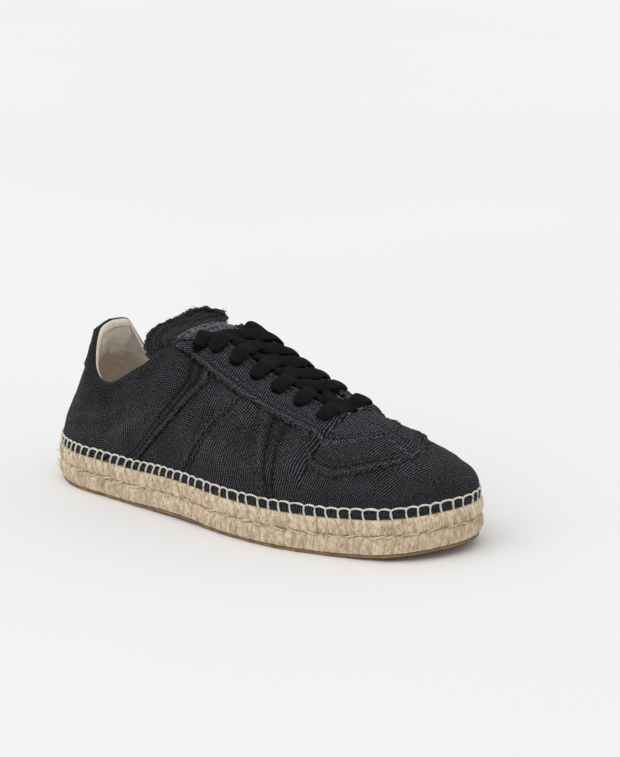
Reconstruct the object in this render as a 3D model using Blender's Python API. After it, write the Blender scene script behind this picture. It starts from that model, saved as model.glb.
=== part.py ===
"""A right low canvas trainer on a jute espadrille sole, standing empty on a flat floor.

The toe points along +X, the wearer's left (the medial side) is +Y, and +Z is up.
The tables are in millimetres with x counted from the back of the heel; `place` turns
them into metres about the middle of the shoe.

The upper is drawn with ribs that run round the shoe.  u counts the stations from the
heel (0) along the lateral side to the toe (12) and back along the medial side (24).  A
rib climbs from the feather line (v = 0), where the canvas meets the sole, to the top
line (v = 1): the collar, the edge of the throat or, in front of it, the vamp's ridge.
"""

import bmesh
import bpy
import numpy as np

# ---- driving dimensions, in millimetres -------------------------------------------------
LENGTH = 290.0
GAP = 0.3

OUTSOLE_THICKNESS = 3.5
OUTSOLE_INSET = 3.0
BAND_BOTTOM = 21.0
FEATHER_HEIGHT = 28.5
FOOT_INSET = 3.0
BAND_INSET = 2.1
HEM_THICKNESS = 2.7
HEM_TOP = FEATHER_HEIGHT - 1.5
TOE_SPRING = 5.5
SPRING_START = 215.0
ARCH_RISE = 1.4
ARCH_CENTRE = 120.0
ARCH_SPREAD = 40.0
INSOLE_THICKNESS = 3.0

CANVAS = 1.6
LAP = 0.5
COLLAR_PADDING = 3.4
HEEL_PADDING = 5.6
ROLL_HEIGHT = 0.43
ROLL_SIDE = 0.25
RIM_START = 0.97
LEAN_TOP = 0.64
THROAT_END = 215.0
THROAT_END_RADIUS = 8.0
OVERLAY_FACE = 2.1
PANEL_FACE = 1.8
PANEL_BACK = LAP + 2 * GAP
OVERLAY_BACK = LAP + 1.5 * GAP
EYESTAY_WIDTH = 22.5

TONGUE_THICKNESS = 3.0
TONGUE_CLEARANCE = 1.1
LACE_WIDTH = 8.0
LACE_THICKNESS = 3.0
EYELET_EDGE = 8.5
LATERAL, MEDIAL = -1, 1

# Each row is a station.  lat and med are the widest outline of the sole on its two sides.
# top is the rib's upper end, gap its distance from the centre line at centre.  rise and
# bulge shape the foot of the rib, reach and drop its head.
STATIONS = {
    #                 lat_x  lat_y  med_x  med_y  top_x  gap   centre top_z rise bulge reach drop
    "heel back":      (0,    1,     0,     1,     28,    0,    0,     94.5, 20,  -3.0, 8,    26),
    "heel corner":    (8,    -22,   8,     25,    31,    14,   0,     92,   20,  -4.5, 4,    25),
    "heel side":      (30,   -36.5, 30,    36.8,  39,    26,   0,     72,   20,  -1.0, 3,    18),
    "ankle":          (55,   -40.6, 55,    36,    54,    31,   0,     66,   17,  1.0,  3,    13),
    "quarter":        (82,   -43.2, 82,    33.5,  80,    31,   0.5,   81,   19,  1.5,  6,    18),
    "eyestay corner": (107,  -46,   106,   33.1,  105,   26,   2,     98.5, 24,  1.5,  14,   18),
    "instep":         (132,  -49.3, 127,   35,    127,   14.5, 2,     101.5, 24, 2.0,  22,   10),
    "waist":          (160,  -53.2, 154,   39.8,  158,   12.5, 1.5,   89,   22,  2.5,  25,   7.5),
    "ball":           (187,  -54.6, 182,   45.6,  188,   11,   1,     77.5, 20,  2.5,  26,   5),
    "throat end":     (214,  -51.1, 209,   49.7,  215,   10,   1,     69,   17,  2.5,  28,   2.5),
    "little toe":     (245,  -42.7, 241,   49,    235,   0,    1.5,   63,   14,  2.0,  27,   1.5),
    "toe corner":     (273,  -27.6, 273,   39.8,  246,   0,    2,     59,   12,  1.5,  24,   5),
    "toe tip":        (290.2, 10.5, 290.2, 10.5,  249,   0,    3,     57.8, 11,  1.0,  22,   7),
}
COLUMNS = ("lat_x", "lat_y", "med_x", "med_y", "top_x", "gap", "centre", "top_z",
           "rise", "bulge", "reach", "drop")
TABLE = np.array(list(STATIONS.values()), float)
TIP = len(TABLE) - 1
ROUND = 2 * TIP


# ---- curves -----------------------------------------------------------------------------
def column(name, u):
    """A column of the station table at u, with no overshoot between the rows."""
    values = TABLE[:, COLUMNS.index(name)]
    s = TIP - np.abs(np.mod(u, ROUND) - TIP)
    i = np.clip(s.astype(int), 0, TIP - 1)
    t = s - i
    step = np.diff(values)
    before, after = step[:-1], step[1:]
    same = before * after > 0
    mean = np.where(same, 2 * before * after / np.where(same, before + after, 1), 0)
    slope = np.concatenate([[0], mean, [0]])
    return (values[i] + step[i] * t * t * (3 - 2 * t)
            + slope[i] * (t ** 3 - 2 * t * t + t) + slope[i + 1] * (t ** 3 - t * t))


OUTLINE = np.vstack([TABLE[:, 0:2], TABLE[TIP - 1:0:-1, 2:4]])


def outline_bend():
    """Second derivatives of the smooth closed curve through the outline's points."""
    system = 4 * np.eye(ROUND) + np.roll(np.eye(ROUND), 1, 0) + np.roll(np.eye(ROUND), -1, 0)
    return np.linalg.solve(system, 6 * (np.roll(OUTLINE, -1, 0) - 2 * OUTLINE
                                        + np.roll(OUTLINE, 1, 0)))


BEND = outline_bend()


def sole_outline(u):
    """Plan point and outward normal of the sole's widest outline."""
    u = np.mod(u, ROUND)
    i = np.minimum(u.astype(int), ROUND - 1)
    j = (i + 1) % ROUND
    b = (u - i)[..., None]
    a = 1 - b
    point = (a * OUTLINE[i] + b * OUTLINE[j]
             + ((a ** 3 - a) * BEND[i] + (b ** 3 - b) * BEND[j]) / 6)
    along = (OUTLINE[j] - OUTLINE[i]
             + ((1 - 3 * a * a) * BEND[i] + (3 * b * b - 1) * BEND[j]) / 6)
    along = along / np.linalg.norm(along, axis=-1, keepdims=True)
    return point, np.stack([along[..., 1], -along[..., 0]], -1)


def smooth(start, end, value):
    t = np.clip((value - start) / (end - start), 0, 1)
    return t * t * (3 - 2 * t)


WIDEST = sole_outline(np.linspace(0, ROUND, 2401))[0]
MIDDLE_X, MIDDLE_Y = (WIDEST.min(0) + WIDEST.max(0)) / 2


def floor_rise(x):
    """Height of the sole's underside over the floor: arch and toe spring."""
    spring = TOE_SPRING * (np.maximum(x - SPRING_START, 0) / (LENGTH - SPRING_START)) ** 2
    arch = ARCH_RISE * np.maximum(1 - ((x - ARCH_CENTRE) / ARCH_SPREAD) ** 2, 0) ** 2
    return spring + arch


# ---- the upper's own function -----------------------------------------------------------
def throat_gap(u):
    """Half the opening between the two top lines, rounded off at the throat's end."""
    into_end = (column("top_x", u) - (THROAT_END - THROAT_END_RADIUS)) / THROAT_END_RADIUS
    return column("gap", u) * np.sqrt(1 - np.clip(into_end, 0, 1) ** 2)


def side_of(u):
    """-1 on the lateral side, 1 on the medial side."""
    return np.where(np.mod(u, ROUND) <= TIP, -1.0, 1.0)


def skin(u, v):
    """Point of the upper's drawn surface."""
    u, v = np.broadcast_arrays(np.asarray(u, float), np.asarray(v, float))
    point, normal = sole_outline(u)
    foot_xy = point - FOOT_INSET * normal
    foot = np.concatenate([foot_xy, (FEATHER_HEIGHT + floor_rise(point[..., 0]))[..., None]], -1)
    centre = np.stack([column("top_x", u), column("centre", u)], -1)
    top = np.stack([column("top_x", u), column("centre", u) + side_of(u) * throat_gap(u),
                    column("top_z", u)], -1)
    out = foot_xy - centre
    out = out / np.linalg.norm(out, axis=-1, keepdims=True)
    lower = foot + np.concatenate([normal * column("bulge", u)[..., None],
                                   column("rise", u)[..., None]], -1)
    upper = top + np.concatenate([out * column("reach", u)[..., None],
                                  -column("drop", u)[..., None]], -1)
    v = v[..., None]
    w = 1 - v
    return foot * w ** 3 + 3 * lower * w * w * v + 3 * upper * w * v * v + top * v ** 3


def skin_normal(u, v):
    """Outward normal of the drawn surface."""
    u, v = np.broadcast_arrays(np.asarray(u, float), np.asarray(v, float))
    v = np.minimum(v, 0.985)
    step = 0.01
    normal = np.cross(skin(u + step, v) - skin(u - step, v), skin(u, v + step) - skin(u, v - step))
    return normal / np.linalg.norm(normal, axis=-1, keepdims=True)


def on_skin(u, v, offset):
    """Point at a distance outside the drawn surface; both sides agree on the ridge."""
    normal = skin_normal(u, v)
    over = skin_normal(ROUND - np.asarray(u, float), v)
    ridge = (np.asarray(v) > 0.9999) & (throat_gap(np.asarray(u, float)) < 1e-6)
    normal = np.where(ridge[..., None], normal + over, normal)
    normal = normal / np.linalg.norm(normal, axis=-1, keepdims=True)
    return skin(u, v) + normal * np.asarray(offset)[..., None]


# ---- solids -----------------------------------------------------------------------------
def place(point):
    """Table millimetres to metres, with the shoe's middle over the origin."""
    return ((point[0] - MIDDLE_X) / 1000, (point[1] - MIDDLE_Y) / 1000, point[2] / 1000)


def make_material(name, colour, roughness):
    material = bpy.data.materials.new(name)
    material.use_nodes = True
    shader = material.node_tree.nodes["Principled BSDF"]
    shader.inputs["Base Color"].default_value = (*colour, 1.0)
    shader.inputs["Roughness"].default_value = roughness
    shader.inputs["Metallic"].default_value = 0.0
    return material


class Solid:
    """Collects faces; equal points become one vertex and faces laid on each other go."""

    def __init__(self):
        self.points = []
        self.index = {}
        self.faces = []

    def vertex(self, point):
        key = tuple(round(float(c) * 2000) for c in point)
        if key not in self.index:
            self.index[key] = len(self.points)
            self.points.append(tuple(float(c) for c in point))
        return self.index[key]

    def face(self, *corners):
        ring = []
        for corner in corners:
            k = self.vertex(corner)
            if k not in ring:
                ring.append(k)
        if len(ring) > 2:
            self.faces.append(ring)

    def strip(self, row, next_row):
        """Quads between two rows of points, split into triangles."""
        for i in range(len(row) - 1):
            self.face(row[i], row[i + 1], next_row[i + 1])
            self.face(row[i], next_row[i + 1], next_row[i])

    def make(self, name, material):
        count = {}
        for ring in self.faces:
            key = frozenset(ring)
            count[key] = count.get(key, 0) + 1
        faces = [ring for ring in self.faces if count[frozenset(ring)] == 1]
        used = sorted({k for ring in faces for k in ring})
        number = {k: i for i, k in enumerate(used)}
        mesh = bpy.data.meshes.new(name)
        mesh.from_pydata([place(self.points[k]) for k in used], [],
                         [[number[k] for k in ring] for ring in faces])
        build = bmesh.new()
        build.from_mesh(mesh)
        bmesh.ops.recalc_face_normals(build, faces=build.faces)
        if build.calc_volume(signed=True) < 0:
            bmesh.ops.reverse_faces(build, faces=build.faces)
        build.to_mesh(mesh)
        build.free()
        mesh.shade_smooth()
        mesh.set_sharp_from_angle(angle=0.7)
        mesh.materials.append(material)
        item = bpy.data.objects.new(name, mesh)
        bpy.context.collection.objects.link(item)
        return item


def ladder(solid, ring, up):
    """Flat cap over a closed ring that starts at the heel: rungs join its two sides."""
    n = len(ring)
    for i in range(n // 2):
        a, b = ring[i], ring[i + 1]
        c, d = ring[(n - i - 1) % n], ring[(n - i) % n]
        if up:
            solid.face(a, b, c)
            solid.face(a, c, d)
        else:
            solid.face(b, a, c)
            solid.face(c, a, d)


def sole_layer(name, material, profile):
    """Closed layer of the sole from a side profile of (height, inset from the outline)."""
    half = np.array([s for s in WALL_STATIONS if s not in EDGE_TWINS])
    u = np.concatenate([half, (ROUND - half[1:-1])[::-1]])
    point, normal = sole_outline(u)
    rise = floor_rise(point[:, 0])
    rings = []
    for height, inset in profile:
        plan = point - inset * normal
        rings.append(np.column_stack([plan, height + rise]))
    solid = Solid()
    for low, high in zip(rings[:-1], rings[1:]):
        solid.strip(np.vstack([low, low[:1]]), np.vstack([high, high[:1]]))
    ladder(solid, rings[0], False)
    ladder(solid, rings[-1], True)
    return solid.make(name, material)


def add_shell(solid, outer, inner):
    """Closed wall between two grids of points; edges shared with another wall fall away."""
    loop = np.concatenate([outer, inner[:, ::-1], outer[:, :1]], axis=1)
    for row, next_row in zip(loop[:-1], loop[1:]):
        solid.strip(row, next_row)
    solid.strip(outer[0], inner[0])
    solid.strip(inner[-1], outer[-1])


def both_sides(s):
    """u of the same stations on the lateral and on the medial side."""
    return [s, ROUND - s]


def v_at(u, distance):
    """v of the point a distance below the top line, measured along the rib."""
    v = np.linspace(0, 1, 61)
    u, distance = np.broadcast_arrays(np.asarray(u, float), np.asarray(distance, float))
    found = np.empty(u.shape)
    for place_in, one in np.ndenumerate(u):
        line = skin(one, v)
        run = np.concatenate([[0], np.cumsum(np.linalg.norm(np.diff(line, axis=0), axis=1))])
        found[place_in] = np.interp(run[-1] - distance[place_in], run, v)
    return found


# ---- upper ------------------------------------------------------------------------------
# Columns of the wall: station at the feather line, how far the column leans forward as it
# climbs, and the lap of the cloth there.  Two columns at one station make a lapped edge.
QUARTER_EDGE, STRIPE_EDGE, VAMP_EDGE = 4.1, 5.65, 8.15
EDGE_TWINS = (4.15, 5.7, 8.1)
LEAN_STATION = (0.0, 2.0, QUARTER_EDGE, STRIPE_EDGE, VAMP_EDGE, 8.6, 12.0)
LEAN = (0.0, 0.3, 3.2, 2.0, -0.9, 0.0, 0.0)
WALL_STATIONS = (0, 0.3, 0.6, 0.9, 1.2, 1.5, 1.8, 2.1, 2.45, 2.8, 3.1, 3.4, 3.65, 3.9, 4.1,
                 4.15, 4.5, 4.9, 5.3, 5.65, 5.7, 6.1, 6.6, 7.1, 7.6, 8.1, 8.15, 8.4, 8.7, 8.88,
                 9, 9.3, 9.6, 9.9, 10.2, 10.45, 10.7, 10.95, 11.2, 11.4, 11.6, 11.8, 12)
WALL_ROWS = (0, 0.11, 0.24, 0.38, 0.52, 0.64, 0.76, 0.85, 0.93, 1)


def leaning(s, v):
    """Station of a wall column at v; it leans only below the eyestay."""
    return s + np.interp(s, LEAN_STATION, LEAN) * np.minimum(v, LEAN_TOP)


def lap(s):
    """Height of the cloth over the drawn surface for a wall column."""
    heights = np.select([s <= QUARTER_EDGE + 1e-6, s <= STRIPE_EDGE + 1e-6,
                         s < VAMP_EDGE - 1e-6], [LAP, 0.0, 0.5 * LAP], LAP)
    return heights


def padding(s, v):
    amount = HEEL_PADDING + (COLLAR_PADDING - HEEL_PADDING) * smooth(0.6, 1.6, s)
    return amount * (1 - smooth(3.5, 4.6, s)) * smooth(0.55, 0.86, v)


def make_upper(material):
    solid = Solid()
    s, v = np.meshgrid(WALL_STATIONS, WALL_ROWS, indexing="ij")
    station = leaning(s, v)
    for u in both_sides(station):
        outer = on_skin(u, v, lap(s))
        inner = on_skin(u, v, -CANVAS - padding(station, v))
        point, normal = sole_outline(u[:, 0])
        rise = floor_rise(point[:, 0])

        def hem(inset, height):
            return np.column_stack([point - inset * normal, height + rise])[:, None]

        outside = [hem(BAND_INSET, height) for height in (BAND_BOTTOM, HEM_TOP)]
        inside = [hem(BAND_INSET + HEM_THICKNESS, height) for height in (BAND_BOTTOM, HEM_TOP)]
        top_out, top_in = outer[:, -1:], inner[:, -1:]
        climb = skin(u[:, -1:], 1.0) - skin(u[:, -1:], RIM_START)
        climb = climb / np.linalg.norm(climb, axis=-1, keepdims=True)
        thick = np.linalg.norm(top_out - top_in, axis=-1, keepdims=True)
        open_rim = (throat_gap(u[:, -1:]) > 1e-6) | (station[:, -1:] < 1)
        crown = climb * thick * ROLL_HEIGHT * open_rim[..., None]
        outer_cap = top_out + (top_in - top_out) * ROLL_SIDE + crown
        inner_cap = top_in + (top_out - top_in) * ROLL_SIDE + crown
        outer = np.concatenate(outside + [outer, outer_cap], axis=1)
        inner = np.concatenate(inside + [inner, inner_cap], axis=1)
        add_shell(solid, outer, inner)
    return solid.make("upper", material)


# ---- overlays ---------------------------------------------------------------------------
EYESTAY_TIP = 10.25
CORNER = 2.5
THROAT_SETBACK = 0.3
EYESTAY_END_WIDTH = 3.0
EYESTAY_STATIONS = (5.03, 5.25, 5.5, 5.8, 6.2, 6.6, 7.0, 7.4, 7.8, 8.2, 8.5, 8.7, 8.88, 9,
                    9.2, 9.4, 9.6, 9.8, 9.95, 10.08, 10.18, EYESTAY_TIP)
EYESTAY_ROWS = 5


def eyestay_reach(s):
    """Distance of the eyestay's lower edge from the top line."""
    grown = smooth(4.9, 6.4, s)
    width = EYESTAY_END_WIDTH + (EYESTAY_WIDTH - EYESTAY_END_WIDTH) * grown
    width = width + column("gap", s) - throat_gap(s)
    ahead = (column("top_x", s) - THROAT_END) / (
        column("top_x", np.array(EYESTAY_TIP)) - THROAT_END)
    return width * (1 - np.clip(ahead, 0, 1) ** CORNER) ** (1 / CORNER)


def make_eyestay(material):
    solid = Solid()
    s = np.array(EYESTAY_STATIONS)[:, None]
    start = np.where(throat_gap(s) > 1e-6, THROAT_SETBACK, 0.0)
    across = start + (eyestay_reach(s) - start) * np.linspace(0, 1, EYESTAY_ROWS)
    s = np.broadcast_to(s, across.shape)
    for u in both_sides(s):
        v = v_at(u, across)
        add_shell(solid, on_skin(u, v, OVERLAY_FACE), on_skin(u, v, OVERLAY_BACK))
    return solid.make("eyestay", material)


def drape(plan):
    """(u, v) of the vamp's surface over points of the plan."""
    u, v = np.meshgrid(np.linspace(7.5, 16.5, 91), np.linspace(0.15, 1, 35), indexing="ij")
    known = skin(u, v)[..., :2].reshape(-1, 2)
    shape = plan.shape[:-1]
    target = plan.reshape(-1, 2)
    nearest = np.argmin(((known[None] - target[:, None]) ** 2).sum(-1), axis=1)
    u, v = u.ravel()[nearest], v.ravel()[nearest]
    step = 1e-3
    for _ in range(12):
        here = skin(u, v)[:, :2]
        miss = target - here
        across = (skin(u + step, v)[:, :2] - here) / step
        climb = (here - skin(u, v - step)[:, :2]) / step
        jacobian = np.stack([across, climb], -1)
        square = np.einsum("nij,nkj->nik", jacobian, jacobian) + 0.02 * np.eye(2)
        weight = np.linalg.solve(square, miss[..., None])
        move = np.einsum("nij,ni->nj", jacobian, weight[..., 0])
        u = u + np.clip(move[:, 0], -0.3, 0.3)
        v = np.clip(v + np.clip(move[:, 1], -0.1, 0.1), 0.02, 1.0)
    return u.reshape(shape), v.reshape(shape)


def along_line(points, count):
    """count points spaced evenly along a line."""
    points = np.array(points, float)
    run = np.concatenate([[0], np.cumsum(np.linalg.norm(np.diff(points, axis=0), axis=1))])
    at = np.linspace(0, run[-1], count)
    return np.column_stack([np.interp(at, run, values) for values in points.T])


STRIP_HALF_WIDTH = 6.0
STRIP_END = 262.0
STRIP_START_GAP = 1.2
STRIP_START_ROUND = 1.6
RIDGE_SLANT = -0.08
PANEL_ALONG_EYESTAY = (8.62, 10.17)
PANEL_ALONG_STRIP = (240.5, 260.5)
MEDIAL_PANEL_SHARE = 0.9
SIDE_PANEL_EDGE = ((205, -33.5), (209, -37), (214, -39.7), (220, -40.6), (229, -39.2), (238, -35.5),
                   (247, -30), (254, -23.5), (259, -16), (260.5, -9), (260.5, -3.5))


def ridge_y(x):
    """The centre line of the vamp in plan."""
    return 1 + RIDGE_SLANT * (x - THROAT_END)


def strip_start(across):
    """Where the strip meets the eyestay's rounded front."""
    tip = column("top_x", np.array(EYESTAY_TIP))
    return tip + STRIP_START_GAP + STRIP_START_ROUND * np.abs(across) / STRIP_HALF_WIDTH


def make_vamp_strip(material):
    across = np.linspace(-STRIP_HALF_WIDTH, STRIP_HALF_WIDTH, 5)
    start = strip_start(across)
    x = start + (STRIP_END - start) * np.linspace(0, 1, 9)[:, None]
    y = ridge_y(x) + across
    u, v = drape(np.stack([x, y], -1))
    solid = Solid()
    add_shell(solid, on_skin(u, v, OVERLAY_FACE), on_skin(u, v, OVERLAY_BACK))
    return solid.make("vamp_strip", material)


def make_side_panel(name, side, material):
    """Side panel of the vamp, between its curved edge, the eyestay and the strip."""
    s = np.linspace(*PANEL_ALONG_EYESTAY, 14)
    u = s if side < 0 else ROUND - s
    edge = skin(u, v_at(u, eyestay_reach(s) + 3 * GAP))[:, :2]
    x = np.linspace(*PANEL_ALONG_STRIP, 8)
    strip = np.column_stack([x, ridge_y(x) + side * (STRIP_HALF_WIDTH + 0.5)])
    curve = np.array(SIDE_PANEL_EDGE, float)
    if side > 0:
        middle = ridge_y(curve[:, 0])
        curve[:, 1] = middle + (middle - curve[:, 1]) * MEDIAL_PANEL_SHARE
    curve = curve[:-1]
    curve[0] = edge[0]
    high = along_line(np.vstack([edge, strip]), 17)
    low = along_line(np.vstack([curve, strip[-1:]]), 17)
    t = np.linspace(0, 1, 5)[None, :, None]
    u, v = drape(low[:, None] * (1 - t) + high[:, None] * t)
    solid = Solid()
    add_shell(solid, on_skin(u, v, PANEL_FACE), on_skin(u, v, PANEL_BACK))
    return solid.make(name, material)


HEEL_TAB_REACH = 0.8
HEEL_TAB_FOOT = 0.66


def make_heel_tab(material):
    u, v = np.meshgrid(np.linspace(-HEEL_TAB_REACH, HEEL_TAB_REACH, 9),
                       np.linspace(HEEL_TAB_FOOT, 1, 8), indexing="ij")
    solid = Solid()
    add_shell(solid, on_skin(u, v, OVERLAY_FACE), on_skin(u, v, OVERLAY_BACK))
    return solid.make("heel_tab", material)


# ---- tongue and laces -------------------------------------------------------------------
TONGUE_STATIONS = (5.0, 5.4, 5.8, 6.3, 6.8, 7.3, 7.8, 8.3, 8.7, 9.0, 9.3, 9.6)
TONGUE_UNDERLAP = (10.0, 6.5, 3.0, 0.0)
CROWN = (0.12, 0.24, 0.37, 0.5, 0.63, 0.76, 0.88)
CROWN_HANDLE = 0.34
TONGUE_POINTS = 11
FLAP_END = ((85, -24, 84), (79, -23.5, 90), (77, -21.5, 94), (76.5, -17.5, 98.5), (77.5, -11, 102.3),
            (80.5, -3, 105), (84, 6.5, 107.8), (88, 16, 111.8), (91, 22.5, 113), (92.5, 26, 112))
FLAP_ROWS = 5
FLAP_FLARE = 8.0
FLAP_LEAD = 0.8
PATCH_THICKNESS = 0.8
PATCH_LIFT = 2 * GAP


def tongue_edge(s, side):
    """Tongue's face under one throat edge, from the edge inwards, and its climb there."""
    u = s if side < 0 else ROUND - s
    v = v_at(np.full(4, u), np.array(TONGUE_UNDERLAP) * (0.1 + 0.9 * smooth(5.0, 6.2, s)))
    line = on_skin(np.full(4, u), v, np.full(4, -CANVAS - TONGUE_CLEARANCE))
    climb = line[3] - line[2]
    return line, climb / np.linalg.norm(climb)


def crown_point(s, across):
    """Point on the tongue's face between the throat edges, 0 lateral to 1 medial."""
    left, climb_left = tongue_edge(s, LATERAL)
    right, climb_right = tongue_edge(s, MEDIAL)
    a, d = left[3], right[3]
    handle = CROWN_HANDLE * np.linalg.norm(d - a)
    b, c = a + climb_left * handle, d + climb_right * handle
    t = across
    return (a * (1 - t) ** 3 + 3 * b * (1 - t) ** 2 * t + 3 * c * (1 - t) * t * t + d * t ** 3)


def tongue_row(s):
    """Points spaced evenly across the tongue's face at station s."""
    left, _ = tongue_edge(s, LATERAL)
    right, _ = tongue_edge(s, MEDIAL)
    middle = np.array([crown_point(s, t) for t in CROWN])
    return along_line(np.vstack([left, middle, right[::-1]]), TONGUE_POINTS)


def tongue_face():
    """Rows across the tongue: the free flap, flared on the medial side, then the throat."""
    rows = [tongue_row(s) for s in TONGUE_STATIONS]
    end = along_line(FLAP_END, TONGUE_POINTS)
    first = rows[0]
    lead = first - rows[1]
    flare = smooth(0.5, 1, np.linspace(0, 1, TONGUE_POINTS))[:, None] * (0, FLAP_FLARE, 0)
    flap = []
    for t in np.linspace(1, 0, FLAP_ROWS, endpoint=False):
        swell = 9.5 * t ** 3 * (1 - t) - 2.0 * t * (1 - t) ** 3
        flap.append(first + (end - first) * t + lead * t * (1 - t) ** 2 * FLAP_LEAD
                    + flare * swell)
    return np.array(flap + rows)


def grid_normal(grid):
    """Upward normal of a grid of points."""
    along = np.gradient(grid, axis=0)
    across = np.gradient(grid, axis=1)
    normal = np.cross(along, across)
    normal = normal / np.maximum(np.linalg.norm(normal, axis=-1, keepdims=True), 1e-9)
    return normal * np.sign(normal[..., 2].sum())


def make_tongue(material):
    face = tongue_face()
    solid = Solid()
    add_shell(solid, face, face - grid_normal(face) * TONGUE_THICKNESS)
    return solid.make("tongue", material)


def make_tongue_patch(material):
    """Bare cloth across the tongue where its flap leaves the throat."""
    face = tongue_face()
    normal = grid_normal(face)
    rows, cols = slice(FLAP_ROWS - 1, FLAP_ROWS + 2), slice(1, TONGUE_POINTS - 1)
    face, normal = face[rows, cols], normal[rows, cols]
    solid = Solid()
    add_shell(solid, face + normal * (PATCH_LIFT + PATCH_THICKNESS), face + normal * PATCH_LIFT)
    return solid.make("tongue_patch", material)


EYELET_STATIONS = (5.65, 6.12, 6.57, 7.05, 7.55, 8.1, 8.72)
LACE_SIDES = 6
LACE_CAP = 1.6
LACE_CAP_SIZE = 0.6
LACE_EDGE = 2.5
UNDER = 0.87
LACE_LIFT = 1.3
TONGUE_LIFT = 0.5
THROAT_SLOPE = (0.93, 0.0, -0.37)


def over_eyestay(s, side, distance):
    """Middle of a lace lying on the eyestay, a distance below the throat's edge."""
    u = np.array([s if side < 0 else ROUND - s])
    v = v_at(u, np.array([distance]))
    return on_skin(u, v, np.array([OVERLAY_FACE + LACE_LIFT + LACE_THICKNESS / 2]))[0]


def over_tongue(s, across, lift):
    point = crown_point(s, across)
    side = crown_point(s, min(across + 0.05, 1)) - crown_point(s, max(across - 0.05, 0))
    ahead = crown_point(s + 0.2, across) - crown_point(s - 0.2, across)
    normal = np.cross(ahead, side)
    normal = normal / np.linalg.norm(normal)
    return point + normal * lift * (1 if normal[2] > 0 else -1)


def lace_path(k, side, to, start_under=False):
    """Middle line of one bar, from eyelet k on one side towards eyelet number `to` opposite.

    It ends under the far edge, or on the far eyelet where no other bar comes out of it.
    """
    s, goal = EYELET_STATIONS[k], EYELET_STATIONS[to]
    whole = to in (k, 0)
    rest = TONGUE_LIFT + LACE_THICKNESS / 2
    high = CANVAS + TONGUE_CLEARANCE + OVERLAY_FACE + LACE_LIFT + LACE_THICKNESS / 2
    stops = (0.06, 0.26, 0.5, 0.74, 0.94) if whole else (0.06, 0.24, 0.44, 0.65, UNDER)
    points = []
    if start_under:
        stops = stops[1:]
    else:
        points += [over_eyestay(s, side, EYELET_EDGE + 2), over_eyestay(s, side, EYELET_EDGE - 2),
                   over_eyestay(s, side, LACE_EDGE)]
    for t in stops:
        far = 1 - (1 - t) / 0.3 if whole else (t - 0.5) * 1.3
        near = 0 if start_under else 1 - t / 0.3
        across = t if side < 0 else 1 - t
        lift = rest + (high - rest) * max(near, far, 0)
        points.append(over_tongue(s + (goal - s) * min(t / UNDER, 1), across, lift))
    if whole:
        points += [over_eyestay(goal, -side, LACE_EDGE), over_eyestay(goal, -side, EYELET_EDGE - 2),
                   over_eyestay(goal, -side, EYELET_EDGE + 2)]
    return np.array(points)


def make_bar(name, path, material):
    """Flattened round lace swept along its middle line, with rounded ends."""
    along = np.gradient(path, axis=0)
    along = along / np.linalg.norm(along, axis=1, keepdims=True)
    first, last = path[0] - along[0] * LACE_CAP, path[-1] + along[-1] * LACE_CAP
    path = np.vstack([first, path, last])
    along = np.vstack([along[:1], along, along[-1:]])
    size = np.ones(len(path))
    size[0] = size[-1] = LACE_CAP_SIZE
    rings = []
    angles = np.linspace(0, 2 * np.pi, LACE_SIDES, endpoint=False) + np.pi / LACE_SIDES
    for point, way, scale in zip(path, along, size):
        normal = np.cross(THROAT_SLOPE, way)
        normal = normal / np.linalg.norm(normal)
        normal = normal if normal[2] > 0 else -normal
        wide = np.cross(normal, way)
        rings.append([point + scale * (wide * np.cos(a) * LACE_WIDTH / 2
                                       + normal * np.sin(a) * LACE_THICKNESS / 2)
                      for a in angles])
    solid = Solid()
    for ring, next_ring in zip(rings[:-1], rings[1:]):
        solid.strip(ring + ring[:1], next_ring + next_ring[:1])
    for ring in (rings[0], rings[-1]):
        for i in range(1, LACE_SIDES - 1):
            solid.face(ring[0], ring[i], ring[i + 1])
    return solid.make(name, material)


def make_laces(material):
    """A straight bar at the front and bars that cross towards the ankle from it."""
    last = len(EYELET_STATIONS) - 1
    laces = make_bar("laces", lace_path(last, LATERAL, last), material)
    for side in (LATERAL, MEDIAL):
        for k in range(1, last + 1):
            path = lace_path(k, side, k - 1, start_under=k == last)
            bar = make_bar(f"lace_cutter_{k}_{side + 1}", path, material)
            bar.hide_render = True
            bar.display_type = "WIRE"
            join = laces.modifiers.new(f"join_{k}_{side + 1}", "BOOLEAN")
            join.operation = "UNION"
            join.solver = "EXACT"
            join.object = bar
    return laces


# ---- the shoe ---------------------------------------------------------------------------
OUTSOLE_SIDE = ((0.0, OUTSOLE_INSET + 1.2), (0.8, OUTSOLE_INSET), (OUTSOLE_THICKNESS,
                                                                  OUTSOLE_INSET - 0.2))
MIDSOLE_BASE = OUTSOLE_THICKNESS + GAP
LEDGE = BAND_BOTTOM - GAP
REBATE = BAND_INSET + HEM_THICKNESS + GAP
MIDSOLE_SIDE = ((MIDSOLE_BASE, 3.0), (MIDSOLE_BASE + 1.2, 1.4), (8.2, 0.4), (11.3, 0.7),
                (12.8, 1.9), (14.2, 0.6), (17.3, 0.0), (19.8, 0.5), (LEDGE, 1.6),
                (LEDGE, REBATE), (FEATHER_HEIGHT - 1.2, REBATE), (FEATHER_HEIGHT - GAP,
                                                                REBATE + 1.0))
INSOLE_BASE = FEATHER_HEIGHT
INSOLE_SIDE = ((INSOLE_BASE, REBATE + 1.2), (INSOLE_BASE + 0.6, REBATE + 0.7),
               (INSOLE_BASE + INSOLE_THICKNESS - 0.6, REBATE + 0.7),
               (INSOLE_BASE + INSOLE_THICKNESS, REBATE + 1.4))


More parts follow.
